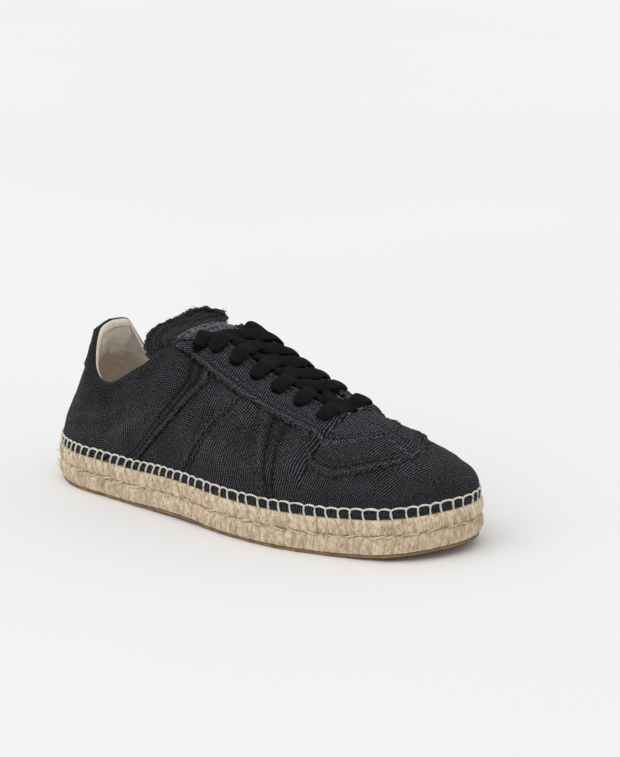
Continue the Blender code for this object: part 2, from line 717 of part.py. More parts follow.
def main():
    for item in list(bpy.data.objects):
        bpy.data.objects.remove(item)
    gum = make_material("gum_rubber", (0.36, 0.22, 0.12), 0.6)
    jute = make_material("jute_braid", (0.62, 0.50, 0.36), 0.9)
    canvas = make_material("washed_black_canvas", (0.045, 0.045, 0.05), 0.9)
    faded = make_material("faded_canvas", (0.07, 0.07, 0.078), 0.9)
    lining = make_material("beige_cotton_lining", (0.62, 0.56, 0.47), 0.85)
    cord = make_material("black_cotton_lace", (0.012, 0.012, 0.013), 0.8)
    sole_layer("outsole", gum, OUTSOLE_SIDE)
    sole_layer("midsole", jute, MIDSOLE_SIDE)
    sole_layer("insole", lining, INSOLE_SIDE)
    make_upper(canvas)
    make_eyestay(faded)
    make_vamp_strip(faded)
    make_side_panel("vamp_panel_lateral", LATERAL, canvas)
    make_side_panel("vamp_panel_medial", MEDIAL, canvas)
    make_heel_tab(canvas)
    make_tongue(canvas)
    make_tongue_patch(faded)
    make_laces(cord)


main()
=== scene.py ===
"""A washed black canvas trainer on a jute espadrille sole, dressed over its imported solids.

The shapes are drawn in millimetres with x counted from the back of the heel, y > 0 on the
medial side and z up.  `place` turns them into metres about the middle of the shoe, as the
solids are.  u runs round the shoe in stations: heel 0, toe 12, heel again 24, with the
lateral side first, and s is a station counted from the heel on either side.  v climbs a rib
from the feather line (0) to the top line (1).
"""

import math

import bmesh
import bpy
import numpy as np
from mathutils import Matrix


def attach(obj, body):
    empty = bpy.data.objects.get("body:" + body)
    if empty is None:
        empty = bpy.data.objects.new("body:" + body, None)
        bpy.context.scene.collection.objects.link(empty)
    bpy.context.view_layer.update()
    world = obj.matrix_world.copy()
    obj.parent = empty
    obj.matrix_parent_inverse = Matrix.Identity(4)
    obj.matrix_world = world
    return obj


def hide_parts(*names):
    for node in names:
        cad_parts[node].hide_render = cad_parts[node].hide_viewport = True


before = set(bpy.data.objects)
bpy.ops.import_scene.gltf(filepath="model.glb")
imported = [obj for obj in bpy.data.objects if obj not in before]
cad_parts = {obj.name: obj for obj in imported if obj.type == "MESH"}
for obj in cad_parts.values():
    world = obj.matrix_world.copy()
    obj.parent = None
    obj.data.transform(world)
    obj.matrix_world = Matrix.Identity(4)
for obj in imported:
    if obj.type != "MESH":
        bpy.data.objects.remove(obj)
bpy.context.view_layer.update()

# ---- the last and the upper, as the solids have them (millimetres) ----
LENGTH = 290.0
BAND_BOTTOM = 21.0
FEATHER_HEIGHT = 28.5
FOOT_INSET = 3.0
BAND_INSET = 2.1
TOE_SPRING = 5.5
SPRING_START = 215.0
ARCH_RISE = 1.4
ARCH_CENTRE = 120.0
ARCH_SPREAD = 40.0
CANVAS = 1.6
COLLAR_PADDING = 3.4
HEEL_PADDING = 5.6
THROAT_END = 215.0
THROAT_END_RADIUS = 8.0
OVERLAY_FACE = 2.1
OVERLAY_BACK = 0.95
PANEL_FACE = 1.8
PANEL_BACK = 1.1
EYESTAY_WIDTH = 22.5
TONGUE_CLEARANCE = 1.1
EYELET_EDGE = 8.5
LATERAL, MEDIAL = -1, 1

STATIONS = np.array([
    # lat_x lat_y med_x med_y top_x gap centre top_z rise bulge reach drop
    (0, 1, 0, 1, 28, 0, 0, 94.5, 20, -3.0, 8, 26),
    (8, -22, 8, 25, 31, 14, 0, 92, 20, -4.5, 4, 25),
    (30, -36.5, 30, 36.8, 39, 26, 0, 72, 20, -1.0, 3, 18),
    (55, -40.6, 55, 36, 54, 31, 0, 66, 17, 1.0, 3, 13),
    (82, -43.2, 82, 33.5, 80, 31, 0.5, 81, 19, 1.5, 6, 18),
    (107, -46, 106, 33.1, 105, 26, 2, 98.5, 24, 1.5, 14, 18),
    (132, -49.3, 127, 35, 127, 14.5, 2, 101.5, 24, 2.0, 22, 10),
    (160, -53.2, 154, 39.8, 158, 12.5, 1.5, 89, 22, 2.5, 25, 7.5),
    (187, -54.6, 182, 45.6, 188, 11, 1, 77.5, 20, 2.5, 26, 5),
    (214, -51.1, 209, 49.7, 215, 10, 1, 69, 17, 2.5, 28, 2.5),
    (245, -42.7, 241, 49, 235, 0, 1.5, 63, 14, 2.0, 27, 1.5),
    (273, -27.6, 273, 39.8, 246, 0, 2, 59, 12, 1.5, 24, 5),
    (290.2, 10.5, 290.2, 10.5, 249, 0, 3, 57.8, 11, 1.0, 22, 7),
])
COLUMNS = ("lat_x", "lat_y", "med_x", "med_y", "top_x", "gap", "centre", "top_z",
           "rise", "bulge", "reach", "drop")
TIP = len(STATIONS) - 1
ROUND = 2 * TIP
OUTLINE = np.vstack([STATIONS[:, 0:2], STATIONS[TIP - 1:0:-1, 2:4]])
SPLINE = 4 * np.eye(ROUND) + np.roll(np.eye(ROUND), 1, 0) + np.roll(np.eye(ROUND), -1, 0)
BEND = np.linalg.solve(SPLINE, 6 * (np.roll(OUTLINE, -1, 0) - 2 * OUTLINE
                                    + np.roll(OUTLINE, 1, 0)))
RIB_STEPS = 60
TINY = 1e-6


def floats(*values):
    return np.broadcast_arrays(*(np.asarray(value, float) for value in values))


def net(rows, columns):
    return np.meshgrid(rows, columns, indexing="ij")


def unit(vector):
    return vector / np.maximum(np.linalg.norm(vector, axis=-1, keepdims=True), 1e-9)


def smooth(start, end, value):
    t = np.clip((value - start) / (end - start), 0, 1)
    return t * t * (3 - 2 * t)


def hump(distance, width):
    """Soft bump of height 1 round distance 0."""
    return np.exp(-(distance / width) ** 2)


def quarter_round(edge):
    """0 on a rim, rising like a quarter round to 1 where edge reaches 1."""
    return np.sqrt(np.clip(1 - (1 - np.clip(edge, 0, 1)) ** 2, 0, 1))


def millimetres(grid, axis):
    """Distance from the first row along one way of a grid or a line."""
    axis %= grid.ndim
    step = np.linalg.norm(np.diff(grid, axis=axis), axis=-1)
    first = np.zeros_like(np.take(step, [0], axis))
    return np.concatenate([first, np.cumsum(step, axis=axis)], axis)


def length_of(line):
    return np.linalg.norm(np.diff(line, axis=-2), axis=-1).sum(-1)


def station_of(u):
    return TIP - np.abs(np.mod(u, ROUND) - TIP)


def at_side(s, side):
    """u of a station on the lateral or the medial side."""
    return s if side < 0 else ROUND - s


def both(s):
    return ((side, at_side(s, side)) for side in (LATERAL, MEDIAL))


def column(name, u):
    """A column of the station table at u, with no overshoot between the rows."""
    values = STATIONS[:, COLUMNS.index(name)]
    s = station_of(u)
    i = np.clip(s.astype(int), 0, TIP - 1)
    t = s - i
    step = np.diff(values)
    before, after = step[:-1], step[1:]
    same = before * after > 0
    mean = np.where(same, 2 * before * after / np.where(same, before + after, 1), 0)
    slope = np.concatenate([[0], mean, [0]])
    return (values[i] + step[i] * t * t * (3 - 2 * t)
            + slope[i] * (t ** 3 - 2 * t * t + t) + slope[i + 1] * (t ** 3 - t * t))


def sole_outline(u):
    """Plan point and outward normal of the sole's widest outline."""
    u = np.mod(u, ROUND)
    i = np.minimum(u.astype(int), ROUND - 1)
    j = (i + 1) % ROUND
    b = (u - i)[..., None]
    a = 1 - b
    point = (a * OUTLINE[i] + b * OUTLINE[j]
             + ((a ** 3 - a) * BEND[i] + (b ** 3 - b) * BEND[j]) / 6)
    along = unit(OUTLINE[j] - OUTLINE[i]
                 + ((1 - 3 * a * a) * BEND[i] + (3 * b * b - 1) * BEND[j]) / 6)
    return point, np.stack([along[..., 1], -along[..., 0]], -1)


ROUND_U = np.linspace(0, ROUND, 4801)
WIDEST = sole_outline(ROUND_U)[0]
MIDDLE = (WIDEST.min(0) + WIDEST.max(0)) / 2
ROUND_MM = millimetres(WIDEST, 0)
GIRTH = ROUND_MM[-1]


def floor_rise(x):
    """Height of the sole's underside over the floor: arch and toe spring."""
    spring = TOE_SPRING * (np.maximum(x - SPRING_START, 0) / (LENGTH - SPRING_START)) ** 2
    arch = ARCH_RISE * np.maximum(1 - ((x - ARCH_CENTRE) / ARCH_SPREAD) ** 2, 0) ** 2
    return spring + arch


def risen(plan, height, over=None):
    """Points of a plan at a height over the sole's underside, as it rises under `over`."""
    rise = floor_rise((plan if over is None else over)[..., 0])
    return np.concatenate([plan, (height + rise)[..., None]], -1)


def round_sole(u, height, inset):
    """Points inside the sole's outline at a height over its underside."""
    point, normal = sole_outline(u)
    return risen(point - np.asarray(inset)[..., None] * normal, height, point)


def throat_gap(u):
    into_end = (column("top_x", u) - (THROAT_END - THROAT_END_RADIUS)) / THROAT_END_RADIUS
    return column("gap", u) * np.sqrt(1 - np.clip(into_end, 0, 1) ** 2)


def in_throat(u):
    return throat_gap(u) > TINY


def rib_frame(u):
    """Foot and top line's middle in plan, and the rib's outward way in plan."""
    point, normal = sole_outline(u)
    foot = point - FOOT_INSET * normal
    centre = np.stack([column("top_x", u), column("centre", u)], -1)
    return point, normal, foot, centre, unit(foot - centre)


def skin(u, v):
    """Point of the upper's drawn surface."""
    u, v = floats(u, v)
    point, normal, foot_xy, centre, out = rib_frame(u)
    foot = risen(foot_xy, FEATHER_HEIGHT, point)
    side = np.where(np.mod(u, ROUND) <= TIP, -1.0, 1.0)
    top = np.stack([centre[..., 0], centre[..., 1] + side * throat_gap(u),
                    column("top_z", u)], -1)
    lower = foot + np.concatenate([normal * column("bulge", u)[..., None],
                                   column("rise", u)[..., None]], -1)
    upper = top + np.concatenate([out * column("reach", u)[..., None],
                                  -column("drop", u)[..., None]], -1)
    v = v[..., None]
    w = 1 - v
    return foot * w ** 3 + 3 * lower * w * w * v + 3 * upper * w * v * v + top * v ** 3


def skin_normal(u, v):
    u, v = floats(u, v)
    v = np.minimum(v, 0.985)
    step = 0.01
    return unit(np.cross(skin(u + step, v) - skin(u - step, v),
                         skin(u, v + step) - skin(u, v - step)))


def on_skin(u, v, offset):
    """Point at a distance outside the drawn surface; both sides agree on the ridge."""
    normal = skin_normal(u, v)
    over = skin_normal(ROUND - np.asarray(u, float), v)
    ridge = (np.asarray(v) > 0.9999) & ~in_throat(np.asarray(u, float))
    normal = unit(np.where(ridge[..., None], normal + over, normal))
    return skin(u, v) + normal * np.asarray(offset)[..., None]


def v_at(u, distance):
    """v of the point a distance below the top line, measured along the rib."""
    u, distance = floats(u, distance)
    run = millimetres(skin(u[..., None], np.linspace(0, 1, RIB_STEPS + 1)), -2)
    want = run[..., -1:] - distance[..., None]
    i = np.clip((run < want).sum(-1) - 1, 0, RIB_STEPS - 1)[..., None]
    low, high = (np.take_along_axis(run, i + k, -1) for k in (0, 1))
    part = (want - low) / np.maximum(high - low, 1e-9)
    return np.clip((i + part)[..., 0] / RIB_STEPS, 0, 1)


HEEL_WRAP = 2.0


def flat(u, v):
    """The cloth laid flat, in millimetres: each rib lies down outwards at its own length.

    Behind the station HEEL_WRAP the cloth runs on round the heel, to a seam at its back.
    """
    u, v = floats(u, v)
    side = np.where(u <= TIP, 1, -1)
    rib = np.where(side > 0, np.maximum(u, HEEL_WRAP), np.minimum(u, ROUND - HEEL_WRAP))
    *_, centre, out = rib_frame(rib)
    run = length_of(skin(rib[..., None], np.linspace(0, 1, 13)))
    level = rib[..., None] + (u - rib)[..., None] * np.linspace(0, 1, 7)
    wrapped = length_of(skin(level, v[..., None])) * side
    back = np.stack([out[..., 1], -out[..., 0]], -1)
    return (centre + out * (throat_gap(rib) + (1 - v) * run)[..., None]
            + back * wrapped[..., None])


# ---- mesh making ----
def place(points):
    return (np.asarray(points, float) - np.array([*MIDDLE, 0])) / 1000


def ripple(points, size, seed):
    """Soft uneven field of about -1 to 1 whose humps are a size apart, in millimetres."""
    points = np.asarray(points, float)
    draw = np.random.default_rng(seed)
    ways = unit(draw.normal(size=(14, points.shape[-1])))
    ways *= 2 * np.pi / size * draw.uniform(0.55, 1.7, (14, 1))
    return np.sin(points @ ways.T + draw.uniform(0, 2 * np.pi, 14)).sum(-1) / 3.7


def refine(grid, rows, columns):
    """A finer grid on the smooth surface through a coarse one."""
    for axis, count in ((0, rows), (1, columns)):
        n = grid.shape[axis]
        at = np.linspace(0, n - 1, count)
        i = np.minimum(at.astype(int), n - 2)
        shape = [1] * grid.ndim
        shape[axis] = count
        t = (at - i).reshape(shape)
        slope = np.gradient(grid, axis=axis)
        p, q, m, k = (np.take(values, start, axis) for values in (grid, slope)
                      for start in (i, i + 1))
        grid = (p * (1 + 2 * t) * (1 - t) ** 2 + q * t * t * (3 - 2 * t)
                + m * t * (1 - t) ** 2 + k * t * t * (t - 1))
    return grid


def refined_line(points, count):
    return refine(np.repeat(points[:, None], 2, 1), count, 2)[:, 0]


def along_line(points, count):
    """Points at even steps along a line."""
    points = np.array(points, float)
    run = millimetres(points, 0)
    return at_run(points, run, np.linspace(0, run[-1], count))


def at_run(values, run, at):
    """Values that go with a line, read at distances along it."""
    return np.column_stack([np.interp(at, run, values[:, k]) for k in range(values.shape[1])])


def spline(points, count):
    """Smooth line through points, with even steps."""
    return along_line(refined_line(np.asarray(points, float), 12 * len(points)), count)


def grid_normal(grid):
    """Normals of a grid that faces up."""
    normal = unit(np.cross(np.gradient(grid, axis=0), np.gradient(grid, axis=1)))
    return normal * np.sign((normal.reshape(-1, 3) @ np.array((0, 0, 1))).sum())


def put(name, data):
    """A new object in the scene."""
    made = bpy.data.objects.new(name, data)
    bpy.context.collection.objects.link(made)
    return made


def form(name, patches, material, weld=2e-6):
    """One smooth piece from grids of (points, cloth coordinates, relief), sewn where they meet.

    The relief tells the finish 0 in a groove darkened with painted shade, 1 on an open face and
    more on a paler worn edge.
    """
    points, faces, cloth, shade, base = [], [], [], [], 0
    for grid, uv, *relief in patches:
        a, b = grid.shape[:2]
        number = base + np.arange(a * b).reshape(a, b)
        faces.append(np.stack([number[:-1, :-1], number[1:, :-1], number[1:, 1:],
                               number[:-1, 1:]], -1).reshape(-1, 4))
        points.append(place(grid).reshape(-1, 3))
        cloth.append(np.asarray(uv, float).reshape(-1, 2))
        shade.append(np.ravel(relief[0]) if relief else np.ones(a * b))
        base += a * b
    points, faces, cloth, shade = map(np.concatenate, (points, faces, cloth, shade))
    mesh = bpy.data.meshes.new(name)
    mesh.vertices.add(len(points))
    mesh.vertices.foreach_set("co", points.ravel())
    mesh.loops.add(faces.size)
    mesh.loops.foreach_set("vertex_index", faces.ravel())
    mesh.polygons.add(len(faces))
    mesh.polygons.foreach_set("loop_start", np.arange(0, faces.size, 4))
    mesh.update(calc_edges=True)
    mesh.uv_layers.new(name="cloth").data.foreach_set("uv", cloth[faces.ravel()].ravel())
    mesh.attributes.new("relief", "FLOAT", "POINT").data.foreach_set("value", shade)
    build = bmesh.new()
    build.from_mesh(mesh)
    bmesh.ops.remove_doubles(build, verts=build.verts, dist=weld)
    bmesh.ops.dissolve_degenerate(build, edges=build.edges, dist=1e-7)
    bmesh.ops.recalc_face_normals(build, faces=build.faces)
    build.to_mesh(mesh)
    build.free()
    mesh.shade_smooth()
    mesh.materials.append(material)
    piece = put(name, mesh)
    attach(piece, "root")
    return piece


def shell(outer, inner, uv, relief=None):
    """Closed wall of cloth between two grids."""
    relief = np.ones(outer.shape[:2]) if relief is None else relief
    faces = ((outer, inner), (uv, uv), (relief, relief))
    ring = tuple(np.concatenate([face, back[:, ::-1], face[:, :1]], axis=1)
                 for face, back in faces)
    return [ring] + [tuple(np.stack([face[k], back[k]]) for face, back in faces)
                     for k in (0, -1)]


def tubes(name, path, up, wide, high, sides, material):
    """Swept rounds or ovals, one for each path, closed at their ends."""
    path = np.asarray(path, float)
    n, k = path.shape[:2]
    along = unit(np.gradient(path, axis=1))
    across = unit(np.cross(along, np.broadcast_to(up, path.shape)))
    up = np.cross(across, along)
    wide, high = (np.broadcast_to(size, (n, k))[..., None] for size in (wide, high))
    rings = np.stack([path + across * math.cos(a) * wide + up * math.sin(a) * high
                      for a in np.linspace(0, 2 * np.pi, sides + 1)], 2)
    middle = np.repeat(path[:, :, None], sides + 1, 2)
    rings = np.concatenate([middle[:, :1], rings, middle[:, -1:]], 1)
    run = millimetres(path, 1)
    run = np.concatenate([run[:, :1], run, run[:, -1:]], 1)
    girth = np.linspace(0, 1, sides + 1)[None, None] * np.ones((n, k + 2, 1))
    uv = np.stack([girth * wide.mean() * 4, run[..., None] + 0 * girth], -1)
    return form(name, list(zip(rings, uv)), material, weld=5e-7)


# ---- materials ----
def linear(code):
    """sRGB hex colour to linear light."""
    part = [int(code[i:i + 2], 16) / 255 for i in (1, 3, 5)]
    return tuple(c / 12.92 if c <= 0.04045 else ((c + 0.055) / 1.055) ** 2.4
                 for c in part) + (1.0,)


def add(tree, kind, inputs, **settings):
    """A node with its settings; an input that is a socket is linked."""
    node = tree.nodes.new("ShaderNode" + kind)
    for name, value in settings.items():
        setattr(node, name, value)
    for name, value in inputs.items():
        socket = node.inputs[name]
        if isinstance(value, bpy.types.NodeSocket):
            tree.links.new(value, socket)
        else:
            socket.default_value = value
    return node


def noise(tree, vector, scale, detail, roughness=0.5, distortion=0.0, output="Fac"):
    return add(tree, "TexNoise", {"Vector": vector, "Scale": scale, "Detail": detail,
                                  "Roughness": roughness, "Distortion": distortion}
               ).outputs[output]


def combine(tree, operation, *values):
    return add(tree, "Math", dict(enumerate(values)), operation=operation).outputs[0]


def spread(tree, value, low, high, to_low=0.0, to_high=1.0):
    return add(tree, "MapRange", {"Value": value, "From Min": low, "From Max": high,
                                  "To Min": to_low, "To Max": to_high}).outputs[0]


def threads(tree, cloth, degrees, pitch, distortion):
    """Parallel rows of thread, a pitch apart in millimetres."""
    turned = add(tree, "VectorRotate", {"Vector": cloth, "Angle": math.radians(degrees)},
                 rotation_type="Z_AXIS").outputs[0]
    return add(tree, "TexWave", {"Vector": turned, "Scale": 2 * math.pi / (20 * pitch),
                                 "Distortion": distortion, "Detail": 1.0, "Detail Scale": 3.0},
               wave_profile="SIN").outputs["Fac"]


def tones(tree, stops, factor):
    """Colours between named stops."""
    ramp = add(tree, "ValToRGB", {"Fac": factor})
    line = ramp.color_ramp
    while len(line.elements) < len(stops):
        line.elements.new(0.5)
    for element, (at, code) in zip(line.elements, stops):
        element.position = at
        element.color = linear(code)
    return ramp.outputs["Color"]


def finish_of(name, roughness, specular, sheen=0.0):
    """An empty finish: its tree and its shader."""
    material = bpy.data.materials.new(name)
    material.use_nodes = True
    tree = material.node_tree
    shader = tree.nodes["Principled BSDF"]
    shader.inputs["Roughness"].default_value = roughness
    shader.inputs["Specular IOR Level"].default_value = specular
    shader.inputs["Sheen Weight"].default_value = sheen
    return material, tree, shader


def cloth_of(tree):
    """Cloth coordinates in millimetres."""
    return add(tree, "UVMap", {}, uv_map="cloth").outputs["UV"]


def dress(tree, shader, colour, strength, distance, height):
    """Colour and bump of a finish."""
    tree.links.new(colour, shader.inputs["Base Color"])
    bump = add(tree, "Bump", {"Strength": strength, "Distance": distance,
                              "Height": height}).outputs[0]
    tree.links.new(bump, shader.inputs["Normal"])


def relief_of(tree):
    return add(tree, "Attribute", {}, attribute_name="relief").outputs["Fac"]


def woven_cotton(name, angle, dark, body, light, fading, rib=1.35, row_share=0.25):
    """Cotton canvas or twill, piece dyed and washed.

    The eye sees even slanting rows of pale worn thread crowns on a darker ground, broken by
    flecks, with cloudy fading, pale worn edges and no gloss; the relief attribute darkens seams,
    grooves, fold valleys and the shadows under lapped edges with painted shade.  The real rows
    are 1 mm apart; they are drawn 1.35 mm apart so that they show.
    """
    material, tree, shader = finish_of(name, 0.95, 0.12, 0.02)
    cloth = cloth_of(tree)
    wobble = noise(tree, cloth, 0.035, 2.0, output="Color")
    shift = add(tree, "VectorMath", {0: wobble, 1: (5.0, 5.0, 0.0), 2: cloth},
                operation="MULTIPLY_ADD").outputs[0]
    rows = threads(tree, shift, angle, rib, 0.3)
    picks = threads(tree, shift, angle + 84, rib * 0.9, 0.4)
    thread = combine(tree, "MULTIPLY_ADD", rows, row_share,
                     combine(tree, "MULTIPLY", rows, picks))
    fleck = noise(tree, cloth, 0.75, 2.0, 0.8)
    thread = combine(tree, "MULTIPLY_ADD", fleck, 2.1, thread)
    # A low relief paints shade into grooves, seams and under lapped edges; a high one pales worn
    # edges.
    relief = relief_of(tree)
    thread = combine(tree, "MULTIPLY_ADD", relief, 0.9, thread)
    level = spread(tree, thread, 1.8, 3.1)
    colour = tones(tree, ((0.0, dark), (0.5, body), (0.95, light)), level)
    worn = spread(tree, noise(tree, cloth, 0.045, 5.0, 0.6), 0.42, 0.72, 0.0, 0.3)
    blend = add(tree, "Mix", {"Factor": worn, 6: colour, 7: linear(fading)},
                data_type="RGBA").outputs[2]
    # Painted shade: the colour is scaled down towards 0.15 where the relief falls to 0.
    shade = spread(tree, relief, 0.0, 0.8, 0.15)
    blend = add(tree, "VectorMath", {0: blend, "Scale": shade}, operation="SCALE").outputs[0]
    dress(tree, shader, blend, 0.8, 0.0004, level)
    return material


def fibre_finish(name, stops, across, along, roughness, bump=0.0003):
    """Twisted or carded fibre: fine streaks that run along the yarn; where a piece carries a
    relief, painted shade darkens its hollows so the crowns show paler.

    The streaks are across millimetres wide and along millimetres long.
    """
    material, tree, shader = finish_of(name, roughness, 0.15)
    cloth = cloth_of(tree)
    drawn = add(tree, "Mapping",
                {"Vector": cloth, "Scale": (1 / across, 1 / along, 1.0)}).outputs[0]
    streak = noise(tree, drawn, 1.0, 5.0, 0.62, 0.35)
    patchy = noise(tree, cloth, 0.06, 3.0)
    value = combine(tree, "MULTIPLY_ADD", patchy, 0.45, streak)
    # Painted shade: a low relief darkens the hollows of a piece; pieces without one carry 1.
    value = combine(tree, "MULTIPLY", spread(tree, value, 0.45, 1.0), relief_of(tree))
    dress(tree, shader, tones(tree, stops, value), 0.9, bump, streak)
    return material


def moulded_gum():
    material, tree, shader = finish_of("moulded_gum_rubber", 0.62, 0.45)
    cloth = cloth_of(tree)
    cloud = noise(tree, cloth, 0.12, 6.0, 0.6)
    grit = noise(tree, cloth, 1.6, 3.0)
    colour = tones(tree, ((0.25, "#5c4330"), (0.5, "#86684c"), (0.75, "#a98863")), cloud)
    dress(tree, shader, colour, 0.6, 0.0003, grit)
    return material


# Cotton canvas of the wall and vamp, square to the shoe: level rows on the quarters, rows
# that climb from the sole over the toe.
QUARTER_CANVAS = woven_cotton("washed_black_cotton_canvas", 7, "#080809", "#1b1b1d", "#6c6d73",
                              "#29292c")
# The same canvas on the eyestay, faded more: its rows cross the throat.
EYESTAY_CANVAS = woven_cotton("faded_cotton_canvas", -6, "#09090b", "#1d1d1f", "#70717a",
                              "#2e2e32", row_share=0.35)
# Slack canvas of the tongue: rows run across the foot.
TONGUE_CANVAS = woven_cotton("soft_black_cotton_canvas", 2, "#0a0a0b", "#1e1e20", "#626368",
                             "#2a2a2d")
# Brushed cotton twill of the lining: pale pinkish beige, dull, with a fine even weave.
LINING_COTTON = woven_cotton("beige_cotton_twill", 45, "#dccdbd", "#eee2d5", "#f6ede2",
                             "#f0e5d8", rib=1.2)
# Loose cotton yarn pulled out of the raw edges: matt, a little paler than the face it left.
RAW_YARN = fibre_finish(
    "raveled_cotton_yarn", ((0, "#1e1e20"), (0.5, "#434346"), (1, "#797a80")), 0.5, 1.2, 0.95)
# The same yarn where the cloth is worn most, round the throat's end: a lighter grey fringe.
FADED_YARN = fibre_finish(
    "faded_cotton_yarn", ((0, "#2b2b2e"), (0.5, "#5c5d62"), (1, "#96979d")), 0.5, 1.2, 0.95)
# Bleached yarn of the tongue's patch: pale grey tufts.
PALE_YARN = fibre_finish(
    "bleached_cotton_yarn", ((0, "#3a3b3e"), (0.5, "#6c6d72"), (1, "#a9aaaf")), 0.4, 3.0, 0.95)
# Spun polyester sewing thread, near black, sunk in the cloth.
SEWING_THREAD = fibre_finish(
    "black_sewing_thread", ((0, "#09090a"), (0.6, "#18181a"), (1, "#303034")), 0.3, 1.5, 0.7)
# Plaited cotton lace, dyed deep black: soft and matt.
LACE_COTTON = fibre_finish(
    "plaited_black_cotton", ((0, "#060607"), (0.55, "#111113"), (1, "#252529")),
    0.7, 1.4, 0.95, 0.0004)
# Waxed cotton cord of the blanket stitch: off white with grey between its plies.
CREAM_CORD = fibre_finish(
    "cream_waxed_cotton_cord", ((0, "#9a9486"), (0.4, "#cfcabe"), (1, "#f6f3ec")),
    0.5, 1.6, 0.75)
# Plaited jute, combed and glued: straw fibres with brown streaks, and painted shade that darkens
# the hollows between the strands down to brown.
JUTE = fibre_finish(
    "plaited_jute", ((0, "#7d6650"), (0.25, "#baa284"), (0.5, "#dfccb1"), (0.8, "#e9d9c0"),
                     (1, "#f3e8d6")), 0.5, 7.0, 0.9, 0.0005)
# Single jute hairs: pale straw, browner in places.
JUTE_HAIR = fibre_finish(
    "jute_hair", ((0, "#b39b7b"), (0.5, "#decdb0"), (1, "#f4ead8")), 0.5, 4.0, 0.85)
# Natural gum rubber, moulded and ground at the edge: tan with darker scuffs, satin.
GUM = moulded_gum()

# ---- canvas upper ----
QUARTER_EDGE, STRIPE_EDGE, VAMP_EDGE = 4.1, 5.65, 8.15
WALL_EDGES = (QUARTER_EDGE, STRIPE_EDGE, VAMP_EDGE)
# At v = 1 the wall's ribs would lean by this many stations; above LEAN_TOP they lean no more.
LEAN_STATION = (0.0, 2.0, QUARTER_EDGE, STRIPE_EDGE, VAMP_EDGE, 8.6, 12.0)
LEAN = (0.0, 0.3, 3.2, 2.0, -0.9, 0.0, 0.0)
LEAN_TOP = 0.64
# Rough lengths of one station and of a whole rib, along the wall.
STATION_MM, RIB_MM = 26.0, 62
WALL_RUN, WALL_CLIMB = 271, 57
LINING_RUN, LINING_CLIMB = 181, 45
ROLL_STEPS = 13
SEAM_LINES = (3.4, 7.0)
UNDER_COLLAR = -0.85
# Creases of the wall: from (s, v) to (s, v), height and width.
CREASES = ((1.15, 0.16, 3.6, 0.62, 0.9, 0.045), (0.9, 0.34, 2.7, 0.60, 0.6, 0.05),
           (3.0, 0.10, 4.3, 0.45, 0.5, 0.05), (6.2, 0.18, 7.2, 0.55, 0.5, 0.06),
           (7.0, 0.12, 8.6, 0.34, 0.5, 0.05), (1.9, 0.05, 3.4, 0.30, 0.45, 0.05))
# Hem under the wall: (inset, height) rows behind the blanket stitch.
HEMS = ((BAND_INSET + 0.2, BAND_BOTTOM - 0.3), (BAND_INSET, BAND_BOTTOM + 1.2),
        (BAND_INSET - 0.1, 24.0), (BAND_INSET, 26.0), (BAND_INSET + 0.15, 27.4))
HEM_DEPTH = 1.1
HEM_CLOTH = (8.0, 6.4, 4.4, 2.5, 1.1)
# The wall's top rolls under the lining: (angle, lift) rows.
TOP_ROLL = ((0.3, 0.8), (0.6, 0.75), (0.9, 0.7), (1.2, 0.6), (1.45, 0.5), (1.6, 0.1))


def leaning(s, v):
    return s + np.interp(s, LEAN_STATION, LEAN) * np.minimum(v, LEAN_TOP)


def padding(s, v):
    amount = HEEL_PADDING + (COLLAR_PADDING - HEEL_PADDING) * smooth(0.6, 1.6, s)
    return amount * (1 - smooth(3.5, 4.6, s)) * smooth(0.55, 0.86, v)


def wall_columns():
    """Columns of the wall, close together where one cloth laps over the next."""
    near = [edge + d for edge in WALL_EDGES
            for d in (-0.06, -0.03, -0.012, 0.0, 0.012, 0.03, 0.06)]
    return np.unique(np.round(np.concatenate([np.linspace(0, TIP, WALL_RUN), near,
                                              [8.95, 8.98, 9.0]]), 4))


def laps(s, v):
    """Height of each cloth over the drawn surface, and its relief: paler puffed edge, painted
    shade in the groove beside a lapped edge and in the stitch channels.
    """
    quarter = (QUARTER_EDGE - s) * STATION_MM
    stripe = (s - STRIPE_EDGE) * STATION_MM
    vamp = (s - VAMP_EDGE) * STATION_MM
    height = np.select([quarter >= -1e-3, stripe <= 1e-3, vamp <= -1e-3],
                       [0.55, -0.15, 0.4], 0.6)
    relief = np.ones(s.shape)
    ragged = 0.35 * np.sin(v * 95 + 3 * np.sin(v * 31))
    for away in (quarter, stripe, vamp):
        on = away >= -1e-3
        height = height + np.where(on, 0.6 * hump(away, 1.8), -0.4 * hump(away, 1.6))
        relief = relief + np.where(on, 0.3 * hump(away, 1.3), -hump(away + ragged, 1.8))
        for seam in SEAM_LINES:
            channel = hump(away - seam, 0.8)
            height = height - 0.2 * channel
            relief = relief - 0.4 * channel
    return height, relief


def eyestay_shadow(u, v):
    """Painted shadow: a dark line on the wall just below the lower edge of the eyestay."""
    s = station_of(u)
    top = np.clip(s, EYESTAY_STATIONS[0], EYESTAY_TIP)
    edge = v_at(u, np.maximum(eyestay_reach(top), 0.1))
    below = (edge - v) * RIB_MM
    return hump(np.clip(below, 0, 99), 1.2) * (below > -4) * (s > 5.2) * (s < EYESTAY_TIP)


def folds(u, v):
    """Soft creases of slack canvas: where the ankle bends, over the toe joint, all over."""
    s = station_of(u)
    spot = flat(u, v)
    fold = 0.5 * ripple(spot, 38, 3) + 0.24 * ripple(spot, 13, 4)
    for s0, v0, s1, v1, height, width in CREASES:
        dx, dv = s1 - s0, v1 - v0
        t = np.clip(((s - s0) * dx + (v - v0) * dv * 6) / (dx * dx + dv * dv * 6), 0, 1)
        away = np.hypot((s - s0 - t * dx) * 0.16, v - v0 - t * dv + 0.02 * np.sin(9 * t))
        fold = fold + 1.5 * height * hump(away, width) * np.sin(np.pi * (0.12 + 0.76 * t))
    return fold * smooth(0.0, 0.14, v) * smooth(1.0, 0.86, v)


